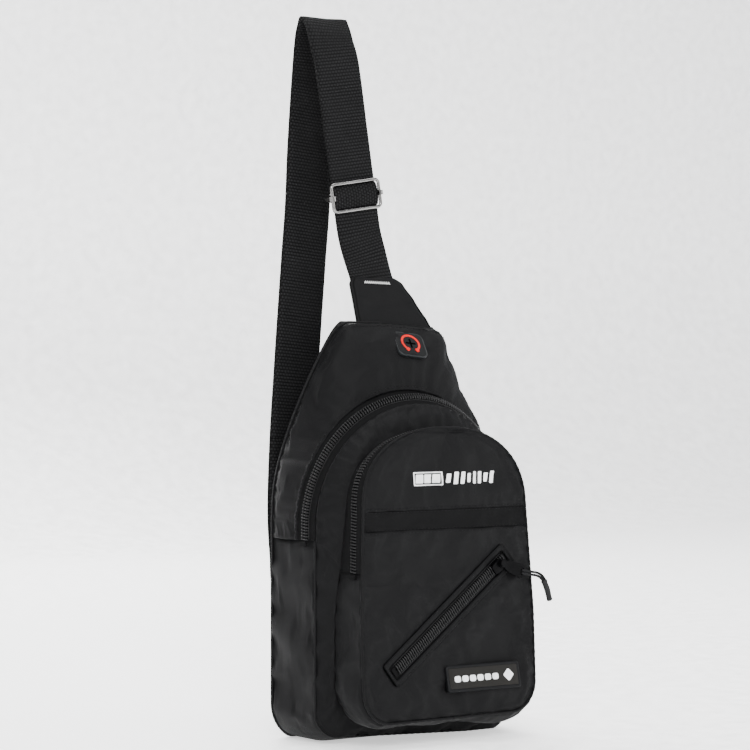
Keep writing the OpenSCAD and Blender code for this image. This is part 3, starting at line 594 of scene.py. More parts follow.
def lower_run(hw, zb, r, top, y):
    """A U-shaped edge in x and z from the left top, down round the corners and up to the right top."""
    side = np.linspace(top, zb + r, 16, endpoint=False)
    angle = np.linspace(math.pi, 1.5 * math.pi, CORNER_N)
    left = [(-hw, z) for z in side]
    corner = [(-hw + r + r * math.cos(a), zb + r + r * math.sin(a)) for a in angle]
    floor = [(x, zb) for x in np.linspace(-hw + r, hw - r, 26)[1:-1]]
    half = left + corner
    points = half + floor + [(-x, z) for x, z in reversed(half)]
    return np.array([(x, y, z) for x, z in points])


def pocket_half(z):
    """Half of the pocket's width at a height."""
    z = np.asarray(z, float)
    below = np.maximum(POCKET_Z + POCKET_R - z, 0)
    low = POCKET_W - POCKET_R + np.sqrt(np.maximum(POCKET_R ** 2 - below ** 2, 0))
    side = POCKET_W + (POCKET_ARCH_W - POCKET_W) * np.clip((z - TAPER_Z) / (POCKET_ARCH_Z - TAPER_Z), 0, 1)
    rise = np.clip((z - POCKET_ARCH_Z) / (POCKET_TOP - POCKET_ARCH_Z), 0, 1)
    arch = POCKET_ARCH_W * (1 - rise ** POCKET_POW) ** (1 / POCKET_POW)
    return np.where(z > POCKET_ARCH_Z, arch, np.minimum(low, side))


def pocket_face(z):
    return -POCKET_Y + POCKET_LEAN * (np.asarray(z, float) - POCKET_Z) / (POCKET_TOP - POCKET_Z)


def outline(hw, zb, r, split, arch_z, arch_w, top, power):
    """A closed outline in x and z that starts at the middle of the bottom edge and goes to the right:
    floor, corner, side with a taper, and arch. All outlines have the same number of points.
    It also gives the indices of the right and left split points, where the zip's tapes begin."""
    floor = [(x, zb) for x in np.linspace(0, hw - r, 16, endpoint=False)]
    angle = np.linspace(-math.pi / 2, 0, CORNER_N)
    corner = [(hw - r + r * math.cos(a), zb + r + r * math.sin(a)) for a in angle]
    side = [(hw, z) for z in np.linspace(zb + r, TAPER_Z, 10)[1:]]
    heights = np.concatenate([np.linspace(TAPER_Z, split, 7)[1:], np.linspace(split, arch_z, 14)[1:-1]])
    side += [(hw + (arch_w - hw) * (z - TAPER_Z) / (arch_z - TAPER_Z), z) for z in heights]
    split_at = len(floor) + len(corner) + 9 + 6 - 1
    c, s = power_arc(np.linspace(0, math.pi / 2, ARCH_N // 2 + 1), power)
    half = floor + corner + side + [(arch_w * a, arch_z + (top - arch_z) * b) for a, b in zip(c, s)]
    points = half + [(-x, z) for x, z in reversed(half[1:-1])]
    return np.array(points), split_at, len(points) - split_at


def stand(xz, y):
    """Gives an outline in x and z its depth, one value or one per point."""
    return np.stack([xz[:, 0], np.broadcast_to(y, len(xz)), xz[:, 1]], axis=1)


def slump(points):
    """The lower front seam of the main compartment hangs lower to the right."""
    z = points[..., 2]
    points[..., 2] = z + (1.6 - 2.6 * points[..., 0] / 62) * smooth_step((32 - z) / 26)
    return points


EDGE_XZ, SPLIT_R, SPLIT_L = outline(POCKET_W, POCKET_Z, POCKET_R, POCKET_SPLIT, POCKET_ARCH_Z, POCKET_ARCH_W,
                                    POCKET_TOP, POCKET_POW)
FRONT_LOOP = stand(EDGE_XZ, pocket_face(EDGE_XZ[:, 1]))
REAR_XZ = outline(POCKET_W, POCKET_Z + 3, POCKET_R, POCKET_SPLIT, POCKET_ARCH_Z, POCKET_ARCH_W,
                  POCKET_TOP - 5, POCKET_POW)[0]
REAR_LOOP = stand(REAR_XZ, SEAM_Y - 10 - 8 * np.clip((REAR_XZ[:, 1] - TAPER_Z) / 75, 0, 1))
SEAM_XZ = outline(ARCH_R - 1.5, 1.5, CORNER_R - 7, GUSSET_H, ARCH_Z, ARCH_R - 1.5,
                  COIL_TOP - TAPE_HALF * math.sin(TAPE_SLOPE) + 1, 2)[0]
SEAM_LOOP = slump(stand(SEAM_XZ, SEAM_Y - 7.5 * np.clip((SEAM_XZ[:, 1] - ARCH_Z) / 80, 0, 1)))


def between(a, b, k):
    return a + (b - a) * k


def ruled(a, b, count):
    return np.stack([between(a, b, k) for k in np.linspace(0, 1, count)], axis=1)


def bulged(grid, amount, normals=None):
    """Pushes the middle of a grid out along its normals."""
    normals = grid_normals(grid) if normals is None else normals
    k = np.linspace(0, 1, grid.shape[1])
    return grid + normals * (amount * np.sin(math.pi * k) ** 0.8)[None, :, None]


def from_seams(grid):
    """How far each point of a grid is from its two long edges."""
    first, last = (np.linalg.norm(grid - side, axis=2) for side in (grid[:, :1], grid[:, -1:]))
    return np.minimum(first, last)


def along_rows(grid, seed, size, amount, fade=8.0):
    """Adds soft waves to a grid along its normals. They die away at its two sewn edges."""
    waves = wobble(grid, size, seed) * amount * smooth_step(from_seams(grid) / fade)
    return grid + grid_normals(grid) * waves[..., None]


def puckers(grid, column, reach, amount, seed, pitch=8.0):
    """Small gathers that run away from a seam at one side of a grid (column 0 or -1)."""
    edge = grid[:, column]
    length = lengths(edge)
    gap_to = np.linalg.norm(grid - edge[:, None], axis=2)
    phase = np.array([noise.noise(Vector((t / 31.0, seed * 3.3, 0))) for t in length]) * 5.0
    size = np.array([0.5 + 0.8 * noise.noise(Vector((t / 23.0, seed * 7.7, 4.2))) for t in length])
    wave = np.sin(2 * math.pi * length / pitch + phase) * np.clip(size, 0, 1.3)
    fade = np.exp(-gap_to / reach) * np.clip(gap_to / 1.5, 0, 1)
    return grid + grid_normals(grid) * (amount * wave[:, None] * fade)[..., None]


def rolled(grid, column, width, height):
    """Lifts a fabric edge a little before it turns under, as a folded seam does."""
    edge = grid[:, column]
    gap_to = np.linalg.norm(grid - edge[:, None], axis=2)
    lift = height * np.clip(1 - gap_to / width, 0, 1) ** 0.5
    lift[:, column] *= 0.35
    return grid + grid_normals(grid) * lift[..., None]


def cloth_piece(name, grid, thick, material, nodes=(), closed=False, body="bag"):
    verts, faces, uvs = sheet_mesh(grid, thick, closed)
    return finish_piece(build(name, verts, faces, material, uvs, body), nodes)


def coil_piece(name, middle, across, up, node, pitch=2.1, width=6.2, high=1.9, trim=0.6):
    """A nylon coil: slanted turns that dip where its two halves mesh, with a sewing line on each side."""
    parts = Parts()
    line, at = resample(middle, pitch / 2)
    old = lengths(middle)
    side, top = unit(points_at(at, old, across)), unit(points_at(at, old, up))
    along = unit(np.gradient(line, axis=0))
    inner = max(1, int(trim / (pitch / 2)))
    reach = np.array([-0.5, -0.44, -0.27, -0.09, 0, 0.09, 0.27, 0.44, 0.5]) * width
    rise = np.array([0.1, 0.6, 0.97, 0.85, 0.62, 0.85, 0.97, 0.6, 0.1]) * high
    thick = pitch * 0.27 * np.array([0.9, 1, 1.05, 0.95, 0.8, 0.95, 1.05, 1, 0.9])
    slant = 0.32 * pitch / width
    for i in range(inner, len(line) - inner, 2):
        turn = line[i] + reach[:, None] * (side[i] + slant * along[i]) + rise[:, None] * top[i]
        parts.add(*tube_mesh(turn, thick, sides=6, up=top[i]))
    span = slice(inner, len(line) - inner)
    for hand in (-1, 1):
        stitch = line + top * 0.1 * high + side * hand * 0.6 * width
        parts.add(*tube_mesh(stitch[span], 0.14 * high, sides=6))
    parts.make(name, NYLON, [node])


# ---------------------------------------------------------------- frames on the pocket's front

def front_frame(u, v, w=0.0):
    """A point on the pocket's front: u to the side, v up the panel from its lower edge, w out of it."""
    u, v, w = np.broadcast_arrays(np.asarray(u, float), np.asarray(v, float), np.asarray(w, float))
    c, s = math.cos(LEAN), math.sin(LEAN)
    return np.stack([u, -POCKET_Y - 1.5 + v * s - w * c, POCKET_Z + v * c + w * s], axis=-1)


def diag_frame(s, t, w=0.0):
    """A point on the slanted zip: s towards its closed end, t across it, w out of the panel."""
    c, n = math.cos(DIAG_ANGLE), math.sin(DIAG_ANGLE)
    s, t, w = np.broadcast_arrays(np.asarray(s, float), np.asarray(t, float), np.asarray(w, float))
    return front_frame(DIAG_X + s * c - t * n, (DIAG_Z - POCKET_Z) / math.cos(LEAN) + s * n + t * c, w)


FRONT_OUT = unit(front_frame(0, 0, 1) - front_frame(0, 0, 0))
DIAG_ALONG = unit(diag_frame(1, 0) - diag_frame(0, 0))
DIAG_ACROSS = unit(diag_frame(0, 1) - diag_frame(0, 0))


def diag_gap(u, v):
    """How far a point of the front is from the slanted zip's opening."""
    c, n = math.cos(DIAG_ANGLE), math.sin(DIAG_ANGLE)
    du, dv = u - DIAG_X, v - (DIAG_Z - POCKET_Z) / math.cos(LEAN)
    s, t = du * c + dv * n - DIAG_OFF, -du * n + dv * c
    return np.hypot(np.maximum(np.abs(s) - DIAG_LEN / 2, 0), np.maximum(np.abs(t) - SLOT_W / 2, 0)), s, t


def cut_swell(u, v):
    """How far the pocket's front stands out of its flat plane as it is cut and padded."""
    z = POCKET_Z + v * math.cos(LEAN)
    half = np.maximum(pocket_half(z), 1)
    inside = np.clip(1 - np.abs(u) / half, 0, 1)
    top = np.clip((POCKET_TOP - z) / 60, 0, 1)
    swell = 2.6 * smooth_step(inside * 2.2) * smooth_step(top * 1.3) * smooth_step(v / 30)
    away, s, t = diag_gap(u, v)
    calm = smooth_step((away - 4) / 26)
    band = 1 - 0.55 * np.exp(-((z - 157) / 12) ** 2)
    noise_at = np.stack([u, v, np.zeros_like(u)], axis=-1)
    waves = 0.8 * wobble(noise_at, 46, 3) + 0.35 * wobble(noise_at, 17, 4)
    edge = smooth_step(inside * half / 9)
    return (swell * band + waves * edge) * calm + 0.25 * waves * edge * (1 - calm)


CLOTH_U = np.linspace(-POCKET_W - 3, POCKET_W + 3, 79)
CLOTH_V = np.linspace(-4, 206, 106)


def settle_front():
    """Settles the pocket's front as one cloth, sewn down along its outline, its ribbon and its zip.
    Gives how far it then stands out of its flat plane, over CLOTH_U and CLOTH_V."""
    u, v = np.meshgrid(CLOTH_U, CLOTH_V, indexing="ij")
    z = POCKET_Z + v * math.cos(LEAN)
    sewn = (pocket_half(z) - np.abs(u) < 1.2) | (v < 1) | (z > POCKET_TOP - 2) | (diag_gap(u, v)[0] < 3.8)
    sewn |= (np.abs(z - BAND_Z0) < 1.05) | (np.abs(z - BAND_Z1) < 1.05)
    cloth = settled(front_frame(u, v, cut_swell(u, v)), 0.03, 1.3, 4.0, held=sewn)
    return (cloth - front_frame(u, v, 0)) @ FRONT_OUT


FRONT_CLOTH = settle_front()


def front_swell(u, v):
    """How far the settled front stands out of its flat plane at a place."""
    at_u = np.clip((u - CLOTH_U[0]) / (CLOTH_U[1] - CLOTH_U[0]), 0, len(CLOTH_U) - 1.001)
    at_v = np.clip((v - CLOTH_V[0]) / (CLOTH_V[1] - CLOTH_V[0]), 0, len(CLOTH_V) - 1.001)
    i, j = np.floor(at_u).astype(int), np.floor(at_v).astype(int)
    p, q = at_u - i, at_v - j
    low = FRONT_CLOTH[i, j] * (1 - p) + FRONT_CLOTH[i + 1, j] * p
    high = FRONT_CLOTH[i, j + 1] * (1 - p) + FRONT_CLOTH[i + 1, j + 1] * p
    return low * (1 - q) + high * q


def front_at(u, v, lift=0.0):
    u, v = np.broadcast_arrays(np.asarray(u, float), np.asarray(v, float))
    return front_frame(u, v, front_swell(u, v) + lift)


# ---------------------------------------------------------------- zip pulls and their cords

PIVOT_Z, POST_X, CORD_R, CORD_GAP = 5.2, 3.2, 0.95, 1.05
HANG = [(x, 0, 0) for x in (-18.2, -25, -30, -35, -40, -45, -50.4)]
DIAG_CORD = [(-18.2, 0, 0), (-24, -0.8, 0), (-28, -1.8, 0), (-32, -2.6, 0), (-36, -2.4, 0), (-39.8, -0.6, 0),
             (-43.2, 2.4, 0), (-46.4, 6, 0), (-49, 10.4, 0)]


class Axes:
    """A local frame in mm: x towards the closed end, y across the zip, z out of the cloth."""

    def __init__(self, origin, x, z):
        self.o, self.x, self.z = np.asarray(origin, float), unit(x), unit(z)
        self.y = np.cross(self.z, self.x)

    def at(self, points):
        p = np.atleast_2d(np.asarray(points, float))
        return self.o + p[:, :1] * self.x + p[:, 1:2] * self.y + p[:, 2:] * self.z

    def turned(self, angle, about="z"):
        c, s = math.cos(angle), math.sin(angle)
        if about == "z":
            return Axes(self.o, c * self.x + s * self.y, self.z)
        return Axes(self.o, c * self.x - s * self.z, s * self.x + c * self.z)

    def moved(self, x, y, z):
        return Axes(self.at([[x, y, z]])[0], self.x, self.z)


TILTED_UP = np.array([0, -math.sin(COIL_TILT), math.cos(COIL_TILT)])
AT_MAIN = Axes([ARCH_R, COIL_Y, ARCH_Z], TILTED_UP, [1, 0, 0])
COIL_LOOP = FRONT_LOOP + unit(REAR_LOOP - FRONT_LOOP) * POCKET_COIL_BACK
SIDE_LOW, SIDE_HIGH = (np.array([POCKET_W + (POCKET_ARCH_W - POCKET_W) * (z - TAPER_Z) / (POCKET_ARCH_Z - TAPER_Z),
                                 float(pocket_face(z)) + POCKET_COIL_BACK, z]) for z in (POCKET_SPLIT, POCKET_ARCH_Z))
SIDE_LEAN = math.atan((POCKET_W - POCKET_ARCH_W) / (POCKET_ARCH_Z - TAPER_Z))
AT_POCKET = Axes(between(SIDE_LOW, SIDE_HIGH, 10 / 43), SIDE_HIGH - SIDE_LOW,
                 [math.cos(SIDE_LEAN), 0, math.sin(SIDE_LEAN)])
AT_DIAG = Axes(diag_frame(60, 0, -0.4), DIAG_ALONG, FRONT_OUT)
PULLS = {
    "main": AT_MAIN.moved(0, 0, PIVOT_Z),
    "pocket": AT_POCKET.moved(0, 0, PIVOT_Z).turned(math.radians(-0.6), "y"),
    "diag": AT_DIAG.moved(POST_X, 0, PIVOT_Z).turned(math.radians(122)),
}


def strand(points, side):
    p = np.array(points, float)
    t = unit(np.gradient(p, axis=0))
    return p + side * CORD_GAP * np.stack([-t[:, 1], t[:, 0], t[:, 2] * 0], axis=1)


def make_cord(zip_name, letter, side):
    """One strand of a pull's cord loop, as a curve of one open spline."""
    route = DIAG_CORD if zip_name == "diag" else HANG
    points = smooth_path(PULLS[zip_name].at(strand(route, side)), 4)
    name = f"{zip_name}_cord_{letter}"
    data = bpy.data.curves.new(name, "CURVE")
    data.dimensions = "3D"
    data.bevel_depth, data.bevel_resolution, data.use_fill_caps = CORD_R * MM, 3, True
    spline = data.splines.new("POLY")
    spline.points.add(len(points) - 1)
    for item, p in zip(spline.points, points):
        item.co = (*(p * MM), 1)
    data.materials.append(CORD)
    obj = bpy.data.objects.new(name, data)
    bpy.context.collection.objects.link(obj)
    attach(obj, f"{zip_name}_pull_body")
    finish_piece(obj, [f"{zip_name}_pull_cord_{letter}"])
    length = float(np.sum(np.linalg.norm(np.diff(points, axis=0), axis=1)))
    return obj, points[0], length


def make_cord_end(zip_name):
    """The moulded end that holds both strands: a soft capsule with a collar, a waist and fine ribs."""
    frame_at = PULLS[zip_name]
    if zip_name == "diag":
        a, b = np.array(DIAG_CORD[5], float), np.array(DIAG_CORD[8], float)
    else:
        a, b = np.array([-38.0, 0, 0]), np.array([-52.0, 0, 0])
    b = b + unit(b - a) * 1.6
    k = np.linspace(0, 1, 40)
    radius = 2.25 - 0.35 * np.sin(math.pi * k) ** 2 + 0.12 * np.sin(k * 60) * (k > 0.2) * (k < 0.85)
    radius = np.where(k < 0.08, 2.5, radius)
    radius[0], radius[-1], radius[-2] = 1.9, 1.1, 1.9
    parts = Parts()
    parts.add(*tube_mesh(frame_at.at(a + (b - a) * k[:, None]), radius, sides=16, flat=0.8, up=frame_at.z))
    return parts.make(f"{zip_name}_cord_end", CORD_END, [f"{zip_name}_pull_end"],
                      f"{zip_name}_pull_body")


for zip_name in PULLS:
    end = make_cord_end(zip_name)
    for letter, side in (("a", 1), ("b", -1)):
        cord, start, length = make_cord(zip_name, letter, side)


# ---------------------------------------------------------------- main compartment

def shell_half(z):
    """Half of the bag's width at a height, on its back seam."""
    angle = np.linspace(0, math.pi / 2, 400)
    r = shell_radius(angle)
    upper = np.interp(z, ARCH_Z + r * np.sin(angle), r * np.cos(angle))
    low = HALF_W - CORNER_R + np.sqrt(np.maximum(CORNER_R ** 2 - np.maximum(CORNER_R - z, 0) ** 2, 0))
    return np.where(np.asarray(z) > ARCH_Z, np.minimum(upper, HALF_W), np.minimum(low, HALF_W))


def make_back():
    """The padded back: spacer mesh over foam, with a sewn border and two sewn channels."""
    z = np.concatenate([CORNER_R * (1 - np.cos(np.linspace(0.05, math.pi / 2, 16))),
                        np.linspace(CORNER_R, 286, 92)[1:], np.linspace(286, 295.5, 8)[1:]])
    t = np.sin(np.linspace(-math.pi / 2, math.pi / 2, 60)) * 0.5 + np.linspace(-1, 1, 60) * 0.5
    half = shell_half(z) - 0.6
    x = half[:, None] * t[None, :]
    zz = np.repeat(z[:, None], 60, axis=1)
    rim = np.minimum.reduce([half[:, None] - np.abs(x), zz, (BAG_H - zz) * 1.0])
    pad = 3.4 * smooth_step((rim - 13) / 12) + 0.9 * smooth_step(rim / 4)
    for level in (92, 176):
        pad *= 1 - 0.75 * np.exp(-((zz - level) / 3.2) ** 2) * (rim > 12)
    pad -= 0.9 * np.exp(-((rim - 12) / 1.6) ** 2)
    pad *= 1 - 0.8 * np.exp(-(((x + 59) / 26) ** 2 + ((zz - 114) / 20) ** 2) ** 2)
    pad += 0.35 * wobble(np.stack([x, zz, zz * 0], axis=-1), 30, 8)
    y = back_face(zz) - 1.2 + pad
    grid = np.stack([x, y, zz - droop(x, zz)], axis=-1)[:, ::-1]
    verts, faces, uvs = sheet_mesh(grid, PANEL_T + 1.2)
    piece = build("back_padding", verts, faces, MESH_PAD, uvs)
    finish_piece(piece, ["back_panel"])


def make_gusset():
    back = lower_run(HALF_W, 0.0, CORNER_R, GUSSET_H, BACK_Y)
    front = slump(lower_run(ARCH_R - 1.2, 1.5, CORNER_R - 7, GUSSET_H, SEAM_Y))
    k = np.linspace(0, 1, 30)
    bend = np.clip((k - 0.5) / 0.5, 0, 1) ** 1.8
    grid = back[:, None] + (front - back)[:, None] * np.stack([bend, k, bend], axis=1)[None]
    inside = along_rows(puckers(puckers(grid, -1, 9, 0.5, 5), 0, 9, 0.45, 6, 9.5), 11, 38, 1.0)
    inside = settled(inside, 0.02, 1.2, 2.8)
    on_floor = np.clip((grid[..., 2] - 3) / 22, 0, 1)[..., None]
    grid = grid + (inside - grid) * on_floor
    grid[..., 2] = np.maximum(grid[..., 2], 0.0)
    cloth_piece("main_gusset", grid, 1.3, SHELL, ["main_gusset"])
    return front


def make_yoke():
    grid = ruled(ridge_edge(), between(REAR_EDGE, COIL_EDGE, 0.18), 34)
    high = grid[:, 0, 2]
    fullness = 2.4 + 2.8 * smooth_step((high - 200) / 60) + 3.6 * np.exp(-((high - 270) / 17) ** 2)
    k = np.linspace(0, 1, grid.shape[1]) ** 0.75
    grid = grid + grid_normals(grid) * (fullness[:, None] * np.sin(math.pi * k))[..., None]
    over_zip = 6.5 * np.exp(-((high - 228) / 26) ** 2) * smooth_step((grid[:, 0, 0] - 20) / 30)
    near_zip = np.sin(math.pi * np.linspace(0, 1, grid.shape[1]) ** 2.2)
    grid = grid + grid_normals(grid) * (over_zip[:, None] * near_zip)[..., None]
    grid = puckers(grid, -1, 10, 0.7, 21, 9)
    grid = puckers(grid, 0, 8, 0.45, 22, 10)
    grid = along_rows(grid, 23, 52, 1.6)
    grid = along_rows(grid, 24, 19, 0.5)
    grid = settled(grid, 0.024, 1.3, 3.4)
    grid = rolled(grid, -1, 3.2, 1.1)
    cloth_piece("yoke", grid, 1.2, SHELL, ["yoke"])
    return grid


def seam_line(grid, column, lift=0.1):
    """A line on a grid's surface for stitches, with its normals."""
    normals = grid_normals(grid)[:, column]
    return grid[:, column] + normals * lift, normals


def make_main_zip():
    for name, a, b, node in (("rear", REAR_EDGE, COIL_EDGE, "main_tape_rear"), ("front", COIL_EDGE, FRONT_EDGE, "main_tape_front")):
        near = 0.02 if name == "front" else 0.0
        far = 1.0 if name == "front" else 0.98
        grid = ruled(between(a, b, near), between(a, b, far), 9)
        cloth_piece(f"main_tape_{name}", grid, 0.7, TAPE, [node])
    side = unit(FRONT_EDGE - REAR_EDGE)
    up = unit(np.cross(np.gradient(COIL_EDGE, axis=0), side))
    coil_piece("main_coil", COIL_EDGE, side, up, "main_coil")


def make_front_panel():
    """The front of the main compartment: from its seam it swells out to the pocket's rear seam."""
    inner = REAR_LOOP + np.array([0, 0.2, 0])
    swell = np.array([0, -2.2, 0])
    rings = [SEAM_LOOP]
    for k in np.linspace(0.06, 0.94, 15):
        rings.append(between(SEAM_LOOP, inner, k) + swell * math.sin(math.pi * k ** 0.75))
    rings.append(inner)
    centre = np.array([0, SEAM_Y - 13, 110])
    for k in (0.97, 0.9, 0.7, 0.4, 0.02):
        rings.append(centre + (inner - centre) * k)
    grid = np.stack(rings, axis=1)
    normals = grid_normals(grid, True)
    outward = np.sign(-normals[..., 1].mean())
    normals = normals * outward
    edge = grid[:, 0]
    length = lengths(edge)
    away = np.linalg.norm(grid - edge[:, None], axis=2)
    inner_away = np.linalg.norm(grid - inner[:, None], axis=2)
    total = length[-1]
    phase = np.array([noise.noise(Vector((math.cos(6.283 * t / total) * 3, math.sin(6.283 * t / total) * 3, 9))) for t in length]) * 4
    wave = np.sin(2 * math.pi * length / total * 84 + phase)
    over = smooth_step((edge[:, 2] - 120) / 60) * 0.5 + 0.4 + 0.5 * smooth_step((edge[:, 2] - 215) / 20)
    lift = 0.85 * (wave * over)[:, None] * np.exp(-away / 9) * np.clip(away / 1.5, 0, 1)
    lift += 0.45 * np.sin(2 * math.pi * length / total * 61 + 2)[:, None] * np.exp(-inner_away / 8) * np.clip(inner_away / 2, 0, 1)
    lift += 1.0 * wobble(grid, 34, 31) * np.clip(away / 8, 0, 1) * np.clip(inner_away / 6, 0, 1)
    roll = 1.2 * np.clip(1 - away / 3.0, 0, 1) ** 0.5
    roll[:, 0] *= 0.35
    grid = grid + normals * (lift + roll)[..., None]
    if outward < 0:
        grid = grid[::-1]
    hidden = np.zeros(grid.shape[:2], bool)
    hidden[:, 16:] = True
    grid = settled(grid, 0.028, 1.0, 2.6, held=hidden, closed=True)
    grid[..., 2] = np.maximum(grid[..., 2], 0.3)
    cloth_piece("main_front_panel", grid, 1.2, SHELL, ["main_front_panel"], closed=True)


make_back()
gusset_front = make_gusset()
yoke_grid = make_yoke()
make_main_zip()
make_front_panel()


# ---------------------------------------------------------------- front pocket

def run_of(loop, first, last):
    """The points of a closed loop from one index to another, going round past its end."""
    return loop[np.arange(first, last + (len(loop) if last < first else 0) + 1) % len(loop)]


def make_pocket_sides():
    rear, front = run_of(REAR_LOOP, SPLIT_L, SPLIT_R), run_of(FRONT_LOOP, SPLIT_L, SPLIT_R)
    grid = ruled(rear, front, 26)
    low = smooth_step((70 - grid[:, 0, 2]) / 50)
    sag = 1.0 + low * (4.5 + 4.5 * smooth_step(grid[:, 0, 0] / 60))
    k = np.linspace(0, 1, grid.shape[1])
    grid = grid + grid_normals(grid) * (sag[:, None] * np.sin(math.pi * k) ** 0.5)[..., None]
    grid = puckers(puckers(grid, -1, 8, 0.55, 41, 8), 0, 8, 0.4, 42, 9)
    grid = along_rows(grid, 43, 30, 0.8)
    grid = settled(grid, 0.02, 1.0, 2.4)
    cloth_piece("pocket_gusset", grid, 1.2, SHELL, ["pocket_gusset"])
    rear, front = run_of(REAR_LOOP, SPLIT_R, SPLIT_L), run_of(FRONT_LOOP, SPLIT_R, SPLIT_L)
    coil = run_of(COIL_LOOP, SPLIT_R, SPLIT_L)
    tape_rear = ruled(rear, between(coil, rear, 0.03), 9)
    tape_front = ruled(between(coil, front, 0.02), front, 9)
    tape_rear, tape_front = bulged(tape_rear, 1.1), bulged(tape_front, 1.1)
    cloth_piece("pocket_tape_rear", tape_rear, 0.7, TAPE, ["pocket_tape_rear"])
    cloth_piece("pocket_tape_front", tape_front, 0.7, TAPE, ["pocket_tape_front"])
    side = unit(front - rear)
    up = unit(np.cross(np.gradient(coil, axis=0), side))
    coil_piece("pocket_coil", coil, side, up, "pocket_coil")


def front_rows(z0, z1, rows, columns=76):
    """A grid of (u, v) on the pocket's front between two heights, following its outline."""
    z = np.asarray(z0 + (z1 - z0) * rows)
    half = pocket_half(z) + 0.8
    t = np.linspace(-1, 1, columns)
    t = 0.55 * t + 0.45 * np.sin(t * math.pi / 2)
    return half[:, None] * t[None, :], np.repeat(((z - POCKET_Z) / math.cos(LEAN))[:, None], columns, axis=1), half


def front_panel(name, z0, z1, rows, material, node, lift=0.0, recess=False):
    u, v, half = front_rows(z0, z1, rows)
    rim = np.minimum(half[:, None] - np.abs(u), 40)
    if z0 < POCKET_Z + 1:
        rim = np.minimum(rim, v)
    turn = -1.5 * np.clip(1 - rim / 2.6, 0, 1) ** 2
    length = v * 1.0 + u * 0.35
    gather = 0.5 * np.sin(length * 2 * math.pi / 8.5 + 2.5 * wobble(np.stack([u, v, v * 0], axis=-1), 30, 51))
    gather *= np.exp(-rim / 8) * np.clip(rim / 2, 0, 1)
    extra = lift + turn + gather
    if recess:
        away, s, t = diag_gap(u, v)
        beside = 0.45 * np.sin(s * 2 * math.pi / 11 + 1.5) * np.exp(-np.maximum(away - 5, 0) / 7) * smooth_step((away - 4) / 3)
        extra = extra + beside - 3.0 * (1 - smooth_step((away - 0.5) / 2.5))
    grid = front_at(u, v, extra)[:, ::-1]
    return cloth_piece(name, grid, 1.1, material, [node])


def turned_end(name, side):
    """An end of the ribbon, turned over the pocket's edge under its seam and down inside."""
    z = np.linspace(BAND_Z0 - 3, BAND_Z1 + 3, 12)
    v = (z - POCKET_Z) / math.cos(LEAN)
    turn = [(-2.2, 0.75), (-0.8, 0.6), (0.1, 0.5), (0.45, 0.9), (0.4, 2.0), (0.0, 4.0), (-0.5, 9.0)]
    grid = np.stack([front_at(side * (pocket_half(z) + out), v, -depth) for out, depth in turn], axis=1)
    cloth_piece(name, grid[:, ::-side], 0.5, RIBBON)


def make_pocket_front():
    low = np.concatenate([POCKET_R * (1 - np.cos(np.linspace(0.03, math.pi / 2, 14))),
                          np.linspace(POCKET_R, BAND_Z0 - POCKET_Z, 84)[1:]]) / (BAND_Z0 - POCKET_Z)
    front_panel("pocket_front_lower", POCKET_Z, BAND_Z0, low, SHELL, "pocket_front_lower", recess=True)
    front_panel("pocket_band", BAND_Z0 - 0.3, BAND_Z1 + 0.3, np.linspace(0, 1, 12), RIBBON,
                "pocket_band", lift=-0.55)
    turned_end("band_end_left", -1)
    turned_end("band_end_right", 1)
    high = np.sin(np.linspace(0, math.pi / 2, 40)) * 0.999
    front_panel("pocket_front_upper", BAND_Z1, POCKET_TOP, high, SHELL, "pocket_front_upper")


make_pocket_sides()
make_pocket_front()


# ---------------------------------------------------------------- slanted zip

def rounded_rectangle(w, h, r, per_corner=6, per_side=20):
    out = []
    for k, (cx, cy) in enumerate(((w / 2 - r, h / 2 - r), (-w / 2 + r, h / 2 - r), (-w / 2 + r, -h / 2 + r), (w / 2 - r, -h / 2 + r))):
        start = k * math.pi / 2
        arc = [(cx + r * math.cos(a), cy + r * math.sin(a)) for a in np.linspace(start, start + math.pi / 2, per_corner)]
        out += arc
        nxt = ((-w / 2 + r, h / 2), (-w / 2, -h / 2 + r), (w / 2 - r, -h / 2), (w / 2, h / 2 - r))[k]
        span = np.linspace(0, 1, per_side + 2)[1:-1]
        out += [tuple(between(np.array(arc[-1]), np.array(nxt), q)) for q in span]
    return np.array(out)


